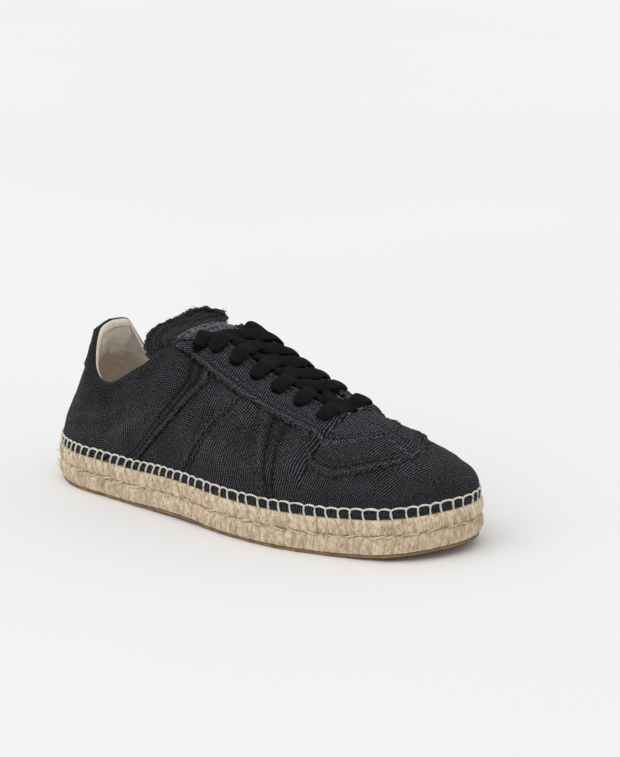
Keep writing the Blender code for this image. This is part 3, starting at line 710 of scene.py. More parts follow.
def over_collar(u, v, top_out, angle, lift):
    """Point over the collar's soft roll: angle 0 at its outer face, pi at its inner face."""
    station = station_of(u)
    top_in = on_skin(u, v, -CANVAS - padding(station, v))
    climb = unit(skin(u, 1.0) - skin(u, 0.97))
    thick = np.linalg.norm(top_out - top_in, axis=-1, keepdims=True)
    lift = lift + 2.6 * math.sin(angle) * hump(u - ROUND + 1.65, 0.7)[..., None]
    is_open = in_throat(u) | (station < 1)
    high = 0.55 * math.sin(angle) * (0.35 + 0.65 * padding(station, 1.0) / 4) * is_open
    across = (1 - math.cos(angle)) / 2
    way = unit(climb * math.sin(angle) + unit(top_out - top_in) * math.cos(angle))
    return (top_out + (top_in - top_out) * across + climb * thick * high[..., None]
            + way * lift)


def make_canvas_upper():
    patches = []
    s, v = net(wall_columns(), np.linspace(0, 1, WALL_CLIMB))
    lap, relief = laps(s, v)
    for _, u in both(leaning(s, v)):
        fold = folds(u, v)
        face = np.maximum(lap * smooth(1.01, 0.93, v) + fold, -0.6)
        face = np.where(in_throat(u), face, np.minimum(face, 0.75))
        outer = on_skin(u, v, face)
        inner = on_skin(u, v, -0.75 + np.minimum(face, 0) * 0.4)
        bands, inside = ([round_sole(u[:, 0], height, inset + deep)[:, None]
                          for inset, height in HEMS] for deep in (0.0, HEM_DEPTH))
        uv = flat(u, v)
        below = [uv[:, :1] + unit(uv[:, :1] - uv[:, 1:2]) * d for d in HEM_CLOTH]
        over = [uv[:, -1:] + unit(uv[:, -1:] - uv[:, -2:-1]) * 1.2 * (k + 1)
                for k in range(len(TOP_ROLL))]
        end, one = u[:, -1:], np.ones((len(u), 1))
        reach = 0.5 * smooth(4.6, 3.4, s[:, -1])[:, None, None]
        lip = on_skin(end, one, UNDER_COLLAR * one)
        wrap = [outer[:, -1:] + (over_collar(end, one, lip, *roll) - outer[:, -1:])
                * np.minimum(reach * 2, 1) for roll in TOP_ROLL]
        tucked = [row - unit(row - lip + TINY) * 0.3 for row in wrap]
        # Painted shadow under the eyestay's lower edge, a painted highlight on fold ridges with
        # painted shade in fold valleys, and painted shade towards the top of the back part.
        soft = relief - 0.8 * eyestay_shadow(u, v) + 0.14 * (fold - 0.3)
        soft = soft - 0.2 * smooth(5.0, 2.0, s) * smooth(0.35, 0.85, v)
        tone = np.concatenate([np.ones((len(s), len(HEMS))), soft,
                               np.full((len(s), len(TOP_ROLL)), 0.9)], 1)
        patches += shell(np.concatenate(bands + [outer] + wrap, 1),
                         np.concatenate(inside + [inner] + tucked, 1),
                         np.concatenate(below + [uv] + over, 1), tone)
    piece = form("canvas_upper", patches, QUARTER_CANVAS)
    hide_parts("upper")


def make_lining():
    """Padded cotton lining: it rolls over the collar and covers the inside of the wall."""
    patches = []
    s, v = net(np.linspace(0, TIP, LINING_RUN), np.linspace(0, 1, LINING_CLIMB))
    for _, u in both(leaning(s, v)):
        outer = on_skin(u, v, UNDER_COLLAR - 0.5 * smooth(1.0, 0.9, v))
        station = station_of(u)
        spot = skin(u, v)
        soft = 0.3 * ripple(spot, 16, 11) + 0.28 * ripple(spot * (0.35, 0.35, 1.6), 5, 12)
        crease = 1.1 * hump(station - 1.0 + 0.25 * (1 - v), 0.05)
        soft = soft - crease * smooth(3, 2, station)
        soft = soft * smooth(0.25, 0.6, v) * smooth(1.0, 0.94, v)
        inner = on_skin(u, v, -CANVAS - padding(station, v) + soft)
        end, one = u[:, -1:], np.ones((len(u), 1))
        roll = [over_collar(end, one, outer[:, -1:], angle, 0.0)
                for angle in np.linspace(0, np.pi, ROLL_STEPS)[1:-1]]
        ring = np.concatenate([outer] + roll + [inner[:, ::-1], outer[:, :1]], 1)
        uv = flat(u, v)
        cap = [uv[:, -1:] - 0.4 * (k + 1) for k in range(len(roll))]
        around = np.concatenate([uv] + cap + [uv[:, ::-1] + 90, uv[:, :1]], 1)
        patches.append((ring, around))
    piece = form("collar_and_lining", patches, LINING_COTTON)
    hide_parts("upper")


# ---- overlays ----
EYESTAY_TIP = 10.25
CORNER = 2.5
EYESTAY_STATIONS = (5.03, 5.25, 5.5, 5.8, 6.2, 6.6, 7.0, 7.4, 7.8, 8.2, 8.5, 8.7, 8.88, 9,
                    9.2, 9.4, 9.6, 9.8, 9.95, 10.08, 10.18, EYESTAY_TIP)
EYELET_STATIONS = (5.65, 6.12, 6.57, 7.05, 7.55, 8.1, 8.72)
EYESTAY_RUN, EYESTAY_CLIMB = 220, 31
# Rows of the eyestay that fray to a fringe: the last THROAT_FRINGE rows round the throat, and
# all from row OUTER_FRINGE on along the outer edge.
THROAT_FRINGE, OUTER_FRINGE = 34, 125
WORN_STEP = 1.5
STRIP_HALF_WIDTH = 6.0
STRIP_END = 262.0
RIDGE_SLANT = -0.08
SIDE_PANEL_EDGE = ((205, -33.5), (209, -37), (214, -39.7), (220, -40.6), (229, -39.2),
                   (238, -35.5), (247, -30), (254, -23.5), (259, -16), (260.5, -9))
# Rims and seams that are frayed and sewn at the end: (line, outward, up, amount) of the raw
# edges, of the patch's pale edges and of the worn fringes, and (line, up) of the seams.
RAW_EDGES, PALE_EDGES, FRINGES, SEAMS = [], [], [], []


def rim(points, normal, side):
    """Line, outward way and up way of a grid's rim.

    a and b are the ends of the grid's first way, c and d the ends of its second.
    """
    if side in "cd":
        points, normal = points.swapaxes(0, 1), normal.swapaxes(0, 1)
    edge, inside = (0, 2) if side in "ac" else (-1, -3)
    return np.stack([points[edge], points[edge] - points[inside], normal[edge]])


def fray(store, rims, amount):
    store.append((*rims, amount))


def sew(points, normal, rows=slice(None), columns=slice(None)):
    SEAMS.append((points[rows, columns], normal[rows, columns]))


def eyestay_reach(s):
    width = 3 + (EYESTAY_WIDTH - 3) * smooth(4.9, 6.4, s) + column("gap", s) - throat_gap(s)
    front = column("top_x", np.array(EYESTAY_TIP)) - THROAT_END
    ahead = (column("top_x", s) - THROAT_END) / front
    return width * (1 - np.clip(ahead, 0, 1) ** CORNER) ** (1 / CORNER)


def edge_wear_and_shade(edge, seams=(2.4, 4.8)):
    """Puff, stitch channels and relief of a cloth's rim: paler where worn, painted shade in the
    channels; edge counts 1.5 mm steps from it.
    """
    puff = 0.45 * hump(edge - 1.1, 0.8)
    relief = 1 + 0.2 * hump(edge - 0.7, 0.6)
    for seam in seams:
        channel = hump(edge - seam, 0.5)
        puff = puff - 0.25 * channel
        relief = relief - 0.25 * channel
    return puff, relief


def rim_distance(grid, sides="abcd"):
    """Distance from the named rims, in steps of 1.5 mm."""
    over, across = millimetres(grid, 0), millimetres(grid, 1)
    far = {"a": over, "b": over[-1:] - over, "c": across, "d": across[:, -1:] - across}
    return np.minimum.reduce([far[one] for one in sides]) / WORN_STEP


def measured(grid):
    """Cloth coordinates of a small piece: its own distances along both ways."""
    return np.stack([millimetres(grid, 0), millimetres(grid, 1)], -1)


def overlay(node, u, v, levels, rims, material, cloth=None):
    """A cloth laid on the upper between two levels, worn along the named rims, with painted shade
    in their stitch channels.
    """
    face, back = levels
    edge = rim_distance(skin(u, v), rims)
    puff, relief = edge_wear_and_shade(edge)
    lift = ((face - back) * (0.25 + 0.75 * quarter_round(edge)) + puff
            + 0.15 * ripple(skin(u, v), 9, 21))
    outer = on_skin(u, v, back + np.maximum(lift, 0.1))
    inner = on_skin(u, v, np.full(u.shape, back))
    cloth = flat(u, v) if cloth is None else cloth
    piece = form(node + "_canvas", shell(outer, inner, cloth, relief), material)
    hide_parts(node)
    return outer, skin_normal(u, v)


def make_eyestay():
    last = len(EYESTAY_STATIONS) - 1
    s = np.interp(np.linspace(0, last, EYESTAY_RUN), np.arange(last + 1),
                  EYESTAY_STATIONS)[:, None]
    throat = np.count_nonzero(in_throat(s))
    start = np.where(in_throat(s), 0.3, 0.0)
    across = start + (eyestay_reach(s) - start) * np.linspace(0, 1, EYESTAY_CLIMB)
    patches = []
    for side, u in both(np.broadcast_to(s, across.shape)):
        v = v_at(u, across)
        grid = skin(u, v)
        edge = np.minimum(rim_distance(grid, "ad"),
                          np.where(in_throat(u), rim_distance(grid, "c"), 9))
        puff, relief = edge_wear_and_shade(edge)
        lift = ((OVERLAY_FACE - OVERLAY_BACK) * (0.2 + 0.8 * quarter_round(edge)) + puff
                + 0.2 * ripple(grid, 8, 22))
        for station in EYELET_STATIONS:
            hole_u = np.array([at_side(station, side)])
            middle = skin(hole_u, v_at(hole_u, np.array([EYELET_EDGE])))[0]
            away = np.linalg.norm(grid - middle, axis=-1)
            lift = lift - 0.9 * hump(away, 2.6) + 0.35 * hump(away - 4.5, 1.6)
            # Painted shade in the dent round each eyelet.
            relief = relief - 0.8 * hump(away, 2.6)
        outer = on_skin(u, v, OVERLAY_BACK + np.maximum(lift, 0.1))
        inner = on_skin(u, v, np.full(u.shape, OVERLAY_BACK - 0.1))
        patches += shell(outer, inner, flat(u, v), relief)
        normal = skin_normal(u, v)
        inward, outward = rim(outer, normal, "c"), rim(outer, normal, "d")
        fray(RAW_EDGES, outward, 1.0)
        fray(RAW_EDGES, inward[:, :throat], 0.5)
        fray(FRINGES, inward[:, throat - THROAT_FRINGE:throat], 1.5)
        fray(FRINGES, outward[:, OUTER_FRINGE:], 1.0)
        for row in (3, 26):
            sew(outer, normal, slice(8, -6), row)
    piece = form("eyestay_canvas", patches, EYESTAY_CANVAS)
    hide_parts("eyestay")


def drape(plan):
    """(u, v) of the vamp's surface over points of the plan."""
    u, v = net(np.linspace(7.5, 16.5, 91), np.linspace(0.15, 1, 35))
    known = skin(u, v)[..., :2].reshape(-1, 2)
    shape = plan.shape[:-1]
    target = plan.reshape(-1, 2)
    nearest = np.array([np.argmin(((known - one) ** 2).sum(-1)) for one in target])
    u, v = u.ravel()[nearest], v.ravel()[nearest]
    step = 1e-3
    for _ in range(12):
        here = skin(u, v)[:, :2]
        jacobian = np.stack([(skin(u + step, v)[:, :2] - here) / step,
                             (here - skin(u, v - step)[:, :2]) / step], -1)
        square = np.einsum("nij,nkj->nik", jacobian, jacobian) + 0.02 * np.eye(2)
        weight = np.linalg.solve(square, (target - here)[..., None])
        move = np.einsum("nij,ni->nj", jacobian, weight[..., 0])
        u = u + np.clip(move[:, 0], -0.3, 0.3)
        v = np.clip(v + np.clip(move[:, 1], -0.1, 0.1), 0.02, 1.0)
    return u.reshape(shape), v.reshape(shape)


def ridge_y(x):
    return 1 + RIDGE_SLANT * (x - THROAT_END)


def make_vamp_strip():
    across = np.linspace(-STRIP_HALF_WIDTH, STRIP_HALF_WIDTH, 21)
    tip = column("top_x", np.array(EYESTAY_TIP))
    start = tip + 1.2 + 1.6 * np.abs(across) / STRIP_HALF_WIDTH
    x = start + (STRIP_END - start) * np.linspace(0, 1, 61)[:, None]
    u, v = drape(np.stack([x, ridge_y(x) + across], -1))
    outer, normal = overlay("vamp_strip", u, v, (OVERLAY_FACE, OVERLAY_BACK), "bcd",
                            EYESTAY_CANVAS)
    for side in "cd":
        for store in (RAW_EDGES, FRINGES):
            fray(store, rim(outer, normal, side), 0.8)
    fray(RAW_EDGES, rim(outer, normal, "b"), 0.8)
    for row in (3, 17):
        sew(outer, normal, columns=row)


def make_side_panel(node, side):
    s = np.linspace(8.62, 10.17, 14)
    u = at_side(s, side)
    edge = skin(u, v_at(u, eyestay_reach(s) + 0.9))[:, :2]
    x = np.linspace(240.5, 260.5, 8)
    strip = np.column_stack([x, ridge_y(x) + side * (STRIP_HALF_WIDTH + 0.5)])
    curve = np.array(SIDE_PANEL_EDGE, float)
    if side > 0:
        middle = ridge_y(curve[:, 0])
        curve[:, 1] = middle + (middle - curve[:, 1]) * 0.9
    curve[0] = edge[0]
    high = along_line(np.vstack([edge, strip]), 97)
    low = along_line(np.vstack([curve, strip[-1:]]), 97)
    t = np.linspace(0, 1, 29)[None, :, None]
    u, v = drape(low[:, None] * (1 - t) + high[:, None] * t)
    outer, normal = overlay(node, u, v, (PANEL_FACE, PANEL_BACK), "c", QUARTER_CANVAS)
    fray(RAW_EDGES, rim(outer, normal, "c"), 1.2)
    sew(outer, normal, slice(4, -8), 5)


def make_heel_tab():
    u, v = net(np.linspace(-0.8, 0.8, 49), np.linspace(0.66, 1, 41))
    outer, normal = overlay("heel_tab", u, v, (OVERLAY_FACE, OVERLAY_BACK), "abcd",
                            TONGUE_CANVAS, measured(skin(u, v)))
    for side, amount in (("a", 0.8), ("b", 0.8), ("c", 1.0)):
        fray(RAW_EDGES, rim(outer, normal, side), amount)


make_canvas_upper()
make_lining()
make_eyestay()
make_vamp_strip()
make_side_panel("vamp_panel_lateral", LATERAL)
make_side_panel("vamp_panel_medial", MEDIAL)
make_heel_tab()

# ---- tongue ----
TONGUE_STATIONS = (5.0, 5.4, 5.8, 6.3, 6.8, 7.3, 7.8, 8.3, 8.7, 9.0, 9.3, 9.6)
TONGUE_UNDERLAP = (10.0, 6.5, 3.0, 0.0)
TONGUE_THICKNESS = 3.0
TONGUE_POINTS = 11
TONGUE_ROWS, TONGUE_COLUMNS = 161, 81
CROWN = (0.12, 0.24, 0.37, 0.5, 0.63, 0.76, 0.88)
# How high the tongue's crown stands, as a share of its width, at stations down the throat.
CROWN_STATION = (5.0, 5.4, 5.8, 6.2, 6.9, 8.0)
CROWN_HEIGHT = (0.16, 0.15, 0.05, 0.08, 0.23, 0.34)
FLAP_END = ((85, -24, 84), (79, -23.5, 90), (77, -21.5, 94), (76.5, -17.5, 98.5),
            (77.5, -11, 102.3), (80.5, -3, 105), (84, 6.5, 107.8), (88, 16, 111.8),
            (91, 22.5, 113), (92.5, 26, 112))
FLAP_ROWS = 5
FLAP_FLARE = 8.0
FLAP_LEAD = 0.8
FLAP_DROP = 6.5
TORN_ROWS = 70
# The patch's part of a net of TONGUE_ROWS by PATCH_NET over the tongue.
PATCH_NET, PATCH_ROWS, PATCH_COLUMNS = 101, slice(44, 62), slice(10, 91)


def tongue_edge(s, side):
    u = np.full(len(TONGUE_UNDERLAP), at_side(s, side))
    v = v_at(u, np.array(TONGUE_UNDERLAP) * (0.1 + 0.9 * smooth(5.0, 6.2, s)))
    line = on_skin(u, v, np.full(len(u), -CANVAS - TONGUE_CLEARANCE))
    return line, unit(line[-1] - line[-2])


def crown_point(s, t):
    """Point of the tongue's face, t across the throat from the lateral side."""
    (left, climb_left), (right, climb_right) = (tongue_edge(s, side)
                                                for side in (LATERAL, MEDIAL))
    a, d = left[-1], right[-1]
    handle = np.interp(s, CROWN_STATION, CROWN_HEIGHT) * np.linalg.norm(d - a)
    b, c = a + climb_left * handle, d + climb_right * handle
    return a * (1 - t) ** 3 + 3 * b * (1 - t) ** 2 * t + 3 * c * (1 - t) * t * t + d * t ** 3


def tongue_row(s):
    left, right = (tongue_edge(s, side)[0] for side in (LATERAL, MEDIAL))
    middle = np.array([crown_point(s, t) for t in CROWN])
    return along_line(np.vstack([left, middle, right[::-1]]), TONGUE_POINTS)


def tongue_face():
    """Rows of the tongue's face from the flap's free end to the front."""
    rows = [tongue_row(s) for s in TONGUE_STATIONS]
    end = along_line(FLAP_END, TONGUE_POINTS)
    lead = rows[0] - rows[1]
    flare = smooth(0.5, 1, np.linspace(0, 1, TONGUE_POINTS))[:, None] * (0, FLAP_FLARE, 0)
    flap = []
    for t in np.linspace(1, 0, FLAP_ROWS, endpoint=False):
        swell = 9.5 * t ** 3 * (1 - t) - 2.0 * t * (1 - t) ** 3
        flap.append(rows[0] + (end - rows[0]) * t + lead * t * (1 - t) ** 2 * FLAP_LEAD
                    + flare * swell)
    return np.array(flap + rows)


TONGUE_FACE = tongue_face()


def make_tongue():
    face = refine(TONGUE_FACE, TONGUE_ROWS, TONGUE_COLUMNS)
    over, across = millimetres(face, 0), millimetres(face, 1)
    inner_corner = smooth(0.7, 1.0, np.linspace(0, 1, TONGUE_COLUMNS))
    face[..., 2] -= FLAP_DROP * inner_corner * smooth(26, 3, over)
    normal = grid_normal(face)
    edge = rim_distance(face, "acd")
    body = quarter_round(edge)
    puff, relief = edge_wear_and_shade(edge, (3.2, 5.4))
    free = smooth(45, 5, over)
    soft = ((0.45 * ripple(face, 22, 31) + 0.3 * ripple(face, 7, 33)) * free
            + 0.1 * ripple(face, 9, 32))
    for ridge in (9, 17, 26):
        wave = over - ridge - 2.5 * np.sin(across / 11 + ridge)
        soft = soft + 0.7 * hump(wave, 2.2) * free
        # Painted shade in the valley behind each ridge.
        relief = relief - 0.3 * hump(wave - 3.2, 1.2) * free
    outer = face + normal * (-0.9 * (1 - body) + soft + puff)[..., None]
    inner = face - normal * (TONGUE_THICKNESS * (0.35 + 0.65 * body))[..., None]
    patches = shell(outer, inner, np.stack([over, across], -1), relief)
    piece = form("tongue_canvas", patches, TONGUE_CANVAS)
    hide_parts("tongue")
    fray(RAW_EDGES, rim(outer, normal, "a"), 1.0)
    for side in "cd":
        fray(RAW_EDGES, rim(outer, normal, side)[:, :TORN_ROWS], 0.7)
    sew(outer, normal, 5, slice(4, -4))


def make_tongue_patch():
    """Bare cloth strip across the flap, sewn down a little behind its free end."""
    face = refine(TONGUE_FACE, TONGUE_ROWS, PATCH_NET)
    face, normal = (grid[PATCH_ROWS, PATCH_COLUMNS] for grid in (face, grid_normal(face)))
    outer = face + normal * (0.75 + 0.65 * quarter_round(rim_distance(face)))[..., None]
    patches = shell(outer, face + normal * 0.5, measured(face))
    piece = form("tongue_patch_canvas", patches, EYESTAY_CANVAS)
    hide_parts("tongue_patch")
    middle = len(outer) // 2
    for rows, side in ((slice(None), "a"), (slice(None), "b"), (slice(middle + 1), "b")):
        fray(PALE_EDGES, rim(outer[rows], normal[rows], side), 1.9)


make_tongue()
make_tongue_patch()

# ---- lace ----
LACE_WIDTH = 9.4
LACE_THICKNESS = 3.0
LACE_POINTS = 80
HALF = LACE_THICKNESS / 2
FRONT_EYELET = len(EYELET_STATIONS) - 1
FRONT_BAR = FRONT_EYELET + 1
THROAT_SLOPE = (0.93, 0.0, -0.37)
# The side whose run lies on top where the two of a pair cross.
TOP_LACE = (None, MEDIAL, LATERAL, LATERAL, LATERAL, MEDIAL, LATERAL)
# Share of the way across the throat by which a run has reached its goal's station.
UNDER = 0.87


def by_cloth(s, side, distance, lift):
    u = np.array([at_side(s, side)])
    return on_skin(u, v_at(u, np.array([distance])), np.array([lift]))[0]


def under_cloth(s, side, distance):
    return by_cloth(s, side, distance, -CANVAS - 0.55)


def over_cloth(s, side, distance, lift):
    return by_cloth(s, side, distance, OVERLAY_FACE + lift)


def over_tongue(s, across, lift):
    point = crown_point(s, across)
    side = crown_point(s, min(across + 0.05, 1)) - crown_point(s, max(across - 0.05, 0))
    ahead = crown_point(s + 0.2, across) - crown_point(s - 0.2, across)
    normal = unit(np.cross(ahead, side))
    return point + normal * lift * (1 if normal[2] > 0 else -1)


def lace_station(k, side):
    """Station of a lace's hole; pulled tight, the medial ones sit a little further forward."""
    return EYELET_STATIONS[k] + (side > 0) * float(np.interp(k, (0, 2, 5), (0.42, 0.3, 0.0)))


def eyelet_end(s, goal, side):
    """Points out of an eyelet and over the eyestay: the lace folds over its own end."""
    way = goal - s
    beyond = np.interp(s, (5.7, 6.2, 8.1, 8.7), (-2.0, 1.0, 1.6, 3.4))
    return [over_cloth(s, side, EYELET_EDGE + beyond, -0.8),
            over_cloth(s, side, EYELET_EDGE + beyond + 0.8, HALF * 0.6),
            over_cloth(s + way * 0.02, side, EYELET_EDGE - 1.5, HALF + 0.3),
            over_cloth(s + way * 0.05, side, 1.8, HALF + 0.3)]


def lace_path(k, side):
    """Middle line of one run: out of eyelet k, over, and under the far edge to the next one."""
    bar = k == FRONT_BAR
    k = min(k, FRONT_EYELET)
    to = k if bar else k - 1
    s, goal = lace_station(k, side), lace_station(to, -side)
    whole, start_under = bar or to == 0, k == FRONT_EYELET and not bar
    rest = 0.2 + HALF
    high = CANVAS + TONGUE_CLEARANCE + OVERLAY_FACE + 0.3 + HALF
    stops = (0.06, 0.26, 0.5, 0.74, 0.94) if whole else (0.06, 0.24, 0.44, 0.65, 0.83)
    if start_under:
        points = [under_cloth(s, side, EYELET_EDGE), under_cloth(s, side, 1.5)]
        stops = stops[1:]
    else:
        points = eyelet_end(s, goal, side)
    for t in stops:
        far = 1 - (1 - t) / 0.3 if whole else 0
        near = 0 if start_under else 1 - t / 0.34
        over = 1.2 * (side == TOP_LACE[k] and not bar) * math.exp(-((t - 0.45) / 0.24) ** 2)
        lift = rest + (high - rest) * max(near, far, 0) + over
        points.append(over_tongue(s + (goal - s) * min(t / UNDER, 1),
                                  t if side < 0 else 1 - t, lift))
    if whole:
        return points + eyelet_end(goal, s, -side)[::-1]
    return points + [under_cloth(goal, -side, 1.5), under_cloth(goal, -side, EYELET_EDGE)]


def make_laces():
    """One lace: a straight bar at the front, then crossings back to the top eyelets."""
    paths, wide, thick = [], [], []
    runs = [(FRONT_BAR, LATERAL)] + [(k, side) for k in range(1, FRONT_BAR)
                                     for side in (LATERAL, MEDIAL)]
    for k, side in runs:
        path = spline(lace_path(k, side), LACE_POINTS)
        part = np.linspace(0, 1, LACE_POINTS)
        length = length_of(path)
        w, h = np.full(LACE_POINTS, LACE_WIDTH / 2), np.full(LACE_POINTS, HALF)
        for away, tip in ((part * length, k != FRONT_EYELET),
                          ((1 - part) * length, k in (1, FRONT_BAR))):
            if tip:
                w = np.minimum(w, 2.2 + (LACE_WIDTH / 2 - 2.2) * quarter_round((away - 1.5) / 5.5))
            else:
                tucked = smooth(13.0, 8.0, away)
                h = h * (1 - tucked) + 0.4 * tucked
        paths.append(path + 0.15 * np.stack([ripple(path, 9, 41 + i) for i in range(3)], -1))
        wide.append(w * (1 + 0.06 * ripple(path, 11, 45)))
        thick.append(h * (1 + 0.1 * ripple(path, 7, 46)))
    paths = np.array(paths)
    normal = np.cross(THROAT_SLOPE, unit(np.gradient(paths, axis=1)))
    normal = unit(np.where(normal[..., 2:] < 0, -normal, normal))
    piece = tubes("cotton_lace", paths, normal, np.array(wide), np.array(thick), 18, LACE_COTTON)
    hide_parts("laces")


make_laces()

# ---- sole ----
# (height, inset) of each plaited row, from its lower edge to its upper edge.
LOWER_ROW = ((3.9, 3.4), (3.1, 2.9), (2.2, 2.3), (2.4, 1.6), (3.7, 0.9), (5.6, 0.5), (8.0, 0.35),
             (10.0, 0.5), (11.4, 0.85), (12.3, 1.35), (12.9, 2.2))
UPPER_ROW = ((12.7, 2.2), (13.3, 1.2), (14.4, 0.6), (16.2, 0.2), (18.2, 0.0), (20.0, 0.1),
             (21.3, 0.4), (22.1, 0.95), (22.4, 1.75))
ROW_LINES, ROW_COLUMNS = 28, 1701
INNER_FACE = 9.0
STRAND_PITCH = 5.4
CHAIN_PITCH = 11.5
CHAIN_HEIGHT = 12.9
HAIRS = 2200
STITCH_FOOT, STITCH_TOP = 21.3, 27.5
# The stitch's upright: (share of the lean, share of the height, inset).
UPRIGHT = ((-0.10, 0.0, 2.3), (0.0, 0.03, 1.4), (0.3, 0.25, 1.35), (0.6, 0.55, 1.3),
           (0.88, 0.82, 1.35), (1.0, 0.96, 1.5))
GUM_SHEET = 3.4
TREAD_PITCH, TREAD_DEPTH = 7.0, 0.7
# Side of the gum sheet: (share of its thickness, inset, whether the hand trim reaches it).
GUM_SIDE = ((0.0, 2.7, 0), (0.04, 2.1, 1), (0.3, 1.9, 1), (0.5, 2.1, 1), (0.6, 3.5, 1),
            (1.0, 3.6, 1), (1.0, 12.0, 0), (0.75, 12.0, 0))
DECK_ROWS, DECK_COLUMNS, EDGE_COLUMNS = 201, 55, 601
FOOTBED_INSET, FOOTBED_TOP, FOOTBED_BASE = 5.3, 31.3, 28.6
FOOTBED_ROWS, FOOTBED_COLUMNS = 121, 49


def round_shoe(q):
    """u at a distance round the sole."""
    return np.interp(np.mod(q, GIRTH), ROUND_MM, ROUND_U)


def sole_point(q, height, inset):
    return round_sole(round_shoe(q), height, inset)


def make_jute_row(name, profile, lean, seed):
    """One plaited row: slanting lobes, each of a few strands, round the whole sole."""
    line = refined_line(np.array(profile), ROW_LINES)
    q, t = net(np.linspace(0, GIRTH, ROW_COLUMNS), np.linspace(0, 1, ROW_LINES))
    height, inset = (np.broadcast_to(line[:, k], q.shape) for k in (0, 1))
    turn = 2 * np.pi * q / GIRTH
    ring = np.stack([np.cos(turn), np.sin(turn)], -1) * GIRTH / 6.3
    lobes = round(GIRTH / STRAND_PITCH)
    uneven = 0.28 * ripple(ring, 23, seed) + 0.12 * ripple(ring, 9, seed + 1)
    bow = 0.9 * (t - 0.5) ** 2
    w = q / GIRTH * lobes + lean * (t - 0.5) + bow * lean + uneven
    number = np.mod(np.floor(w), lobes)
    draw = np.random.default_rng(seed + 2).uniform(-1, 1, lobes + 2)
    stand = draw[number.astype(int)]
    lobe = np.sqrt(np.clip(1 - np.abs(2 * np.mod(w, 1) - 1) ** 2.6, 0, 1))
    within = np.mod(np.mod(w, 1) * 4 + 0.3 * stand, 1)
    strand = np.sqrt(np.clip(1 - (2 * within - 1) ** 2, 0, 1))
    relief = 0.6 * lobe + 0.22 * strand + 0.12 * stand
    relief = relief + 0.14 * ripple(np.concatenate([ring, height[..., None] * 2], -1), 6,
                                    seed + 3)
    rim_share = np.minimum(t, 1 - t)
    proud = (relief - 0.75) * (0.4 + 0.6 * np.clip(rim_share / 0.12, 0, 1))
    grid = sole_point(q, height, inset - proud)
    # Painted shade: darker in the valleys between lobes and strands, in a wobbly band along the
    # row's rims and in random patches where the plait gapes.
    hollow_shade = np.clip(0.55 + 0.4 * lobe + 0.18 * strand + 0.07 * stand, 0, 1.15)
    rim_shade_band = 0.11 + 0.05 * ripple(ring, 5, seed + 4)
    hollow_shade = hollow_shade * (0.3 + 0.7 * np.clip(rim_share / rim_shade_band, 0, 1))
    gaps = ripple(np.concatenate([ring * 2.2, height[..., None]], -1), 5, seed + 5)
    hollow_shade = hollow_shade * (1 - 0.4 * smooth(0.55, 1.0, gaps)) * 1.06
    # Each strand takes its own part of the fibre's pattern.
    uv = np.stack([w * STRAND_PITCH, height + 60 * number * 0.37], -1)
    back, foot = (sole_point(q[:, :1], height[:, [k]], np.full((len(q), 1), INNER_FACE))
                  for k in (-1, 0))
    grid = np.concatenate([grid, back, foot, grid[:, :1]], 1)
    uv, hollow_shade = (np.concatenate([face, face[:, -1:], face[:, :1], face[:, :1]], 1)
                  for face in (uv, hollow_shade))
    piece = form(name, [(grid, uv, hollow_shade)], JUTE)
    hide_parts("midsole")


def make_jute_chain():
    """Light strand that locks the two rows together, one long loop lapping the next."""
    draw = np.random.default_rng(71)
    count = round(GIRTH / CHAIN_PITCH)
    start = (np.arange(count) + draw.uniform(-0.18, 0.18, count)) * GIRTH / count
    t = np.linspace(0, 1, 11)
    arch = np.sin(np.pi * t)
    length = GIRTH / count * draw.uniform(0.55, 1.15, count)
    q = start[:, None] + length[:, None] * t
    swing = draw.uniform(0.4, 1.9, count)[:, None] * draw.choice((-1, 1), count)[:, None]
    height = (CHAIN_HEIGHT + swing * (0.7 - 1.4 * t)
              + draw.uniform(-0.8, 0.8, count)[:, None] * arch)
    path = sole_point(q, height, 1.15 - 0.6 * arch ** 0.7)
    size = draw.uniform(0.45, 0.85, count)[:, None] * (0.25 + 0.75 * arch ** 0.6)
    piece = tubes("jute_lock_strand", path, (0, 0, 1), size * 0.8, size, 8, JUTE)
    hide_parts("midsole")


def make_jute_hairs():
    """Loose hairs combed along the strands."""
    draw = np.random.default_rng(72)
    upper = draw.random(HAIRS) < 0.45
    z = draw.uniform(np.where(upper, 13.2, 3.6), np.where(upper, 22.2, 12.4))[:, None]
    q = draw.uniform(0, GIRTH, HAIRS)[:, None]
    way = (np.where(upper, 0.55, -0.55) + draw.normal(0, 0.5, HAIRS))[:, None]
    length = (draw.gamma(2.2, 1.5, HAIRS) + 1.5)[:, None]
    t = np.linspace(-0.5, 0.5, 6)
    high = z + length * t * 0.8
    along = q + way * length * t + 0.5 * np.sin(5 * t + z)
    belly = np.where(high > 12.8, np.abs((high - 17.8) / 5.0), np.abs((high - 8.0) / 5.0))
    inset = 0.1 + 1.2 * np.clip(belly, 0, 1.2) ** 2.5 - 0.15
    wild = draw.random(HAIRS) < 0.16
    reach = np.where(wild, draw.uniform(0.8, 3.2, HAIRS), 0.15)
    inset = np.maximum(inset - reach[:, None] * (t + 0.5) ** 2, -2.5)
    path = sole_point(along, np.clip(high, 2.7, 23.0), inset)
    size = draw.uniform(0.09, 0.17, HAIRS)[:, None] * np.array([1, 1, 1, 0.9, 0.7, 0.35])
    piece = tubes("jute_hairs", path, (0.3, 0.2, 0.9), size, size, 3, JUTE_HAIR)
    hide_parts("midsole")


def stitch_places():
    """Distances round the sole of the blanket stitch's uprights: wider apart at the toe."""
    draw = np.random.default_rng(81)
    at, places = 0.0, []
    while at < GIRTH - 3:
        places.append(at)
        pitch = 6.2 + 1.3 * smooth(5.4, 7.6, station_of(round_shoe(at)))
        at += pitch * (1 + 0.13 * draw.uniform(-1, 1))
    return np.array(places)


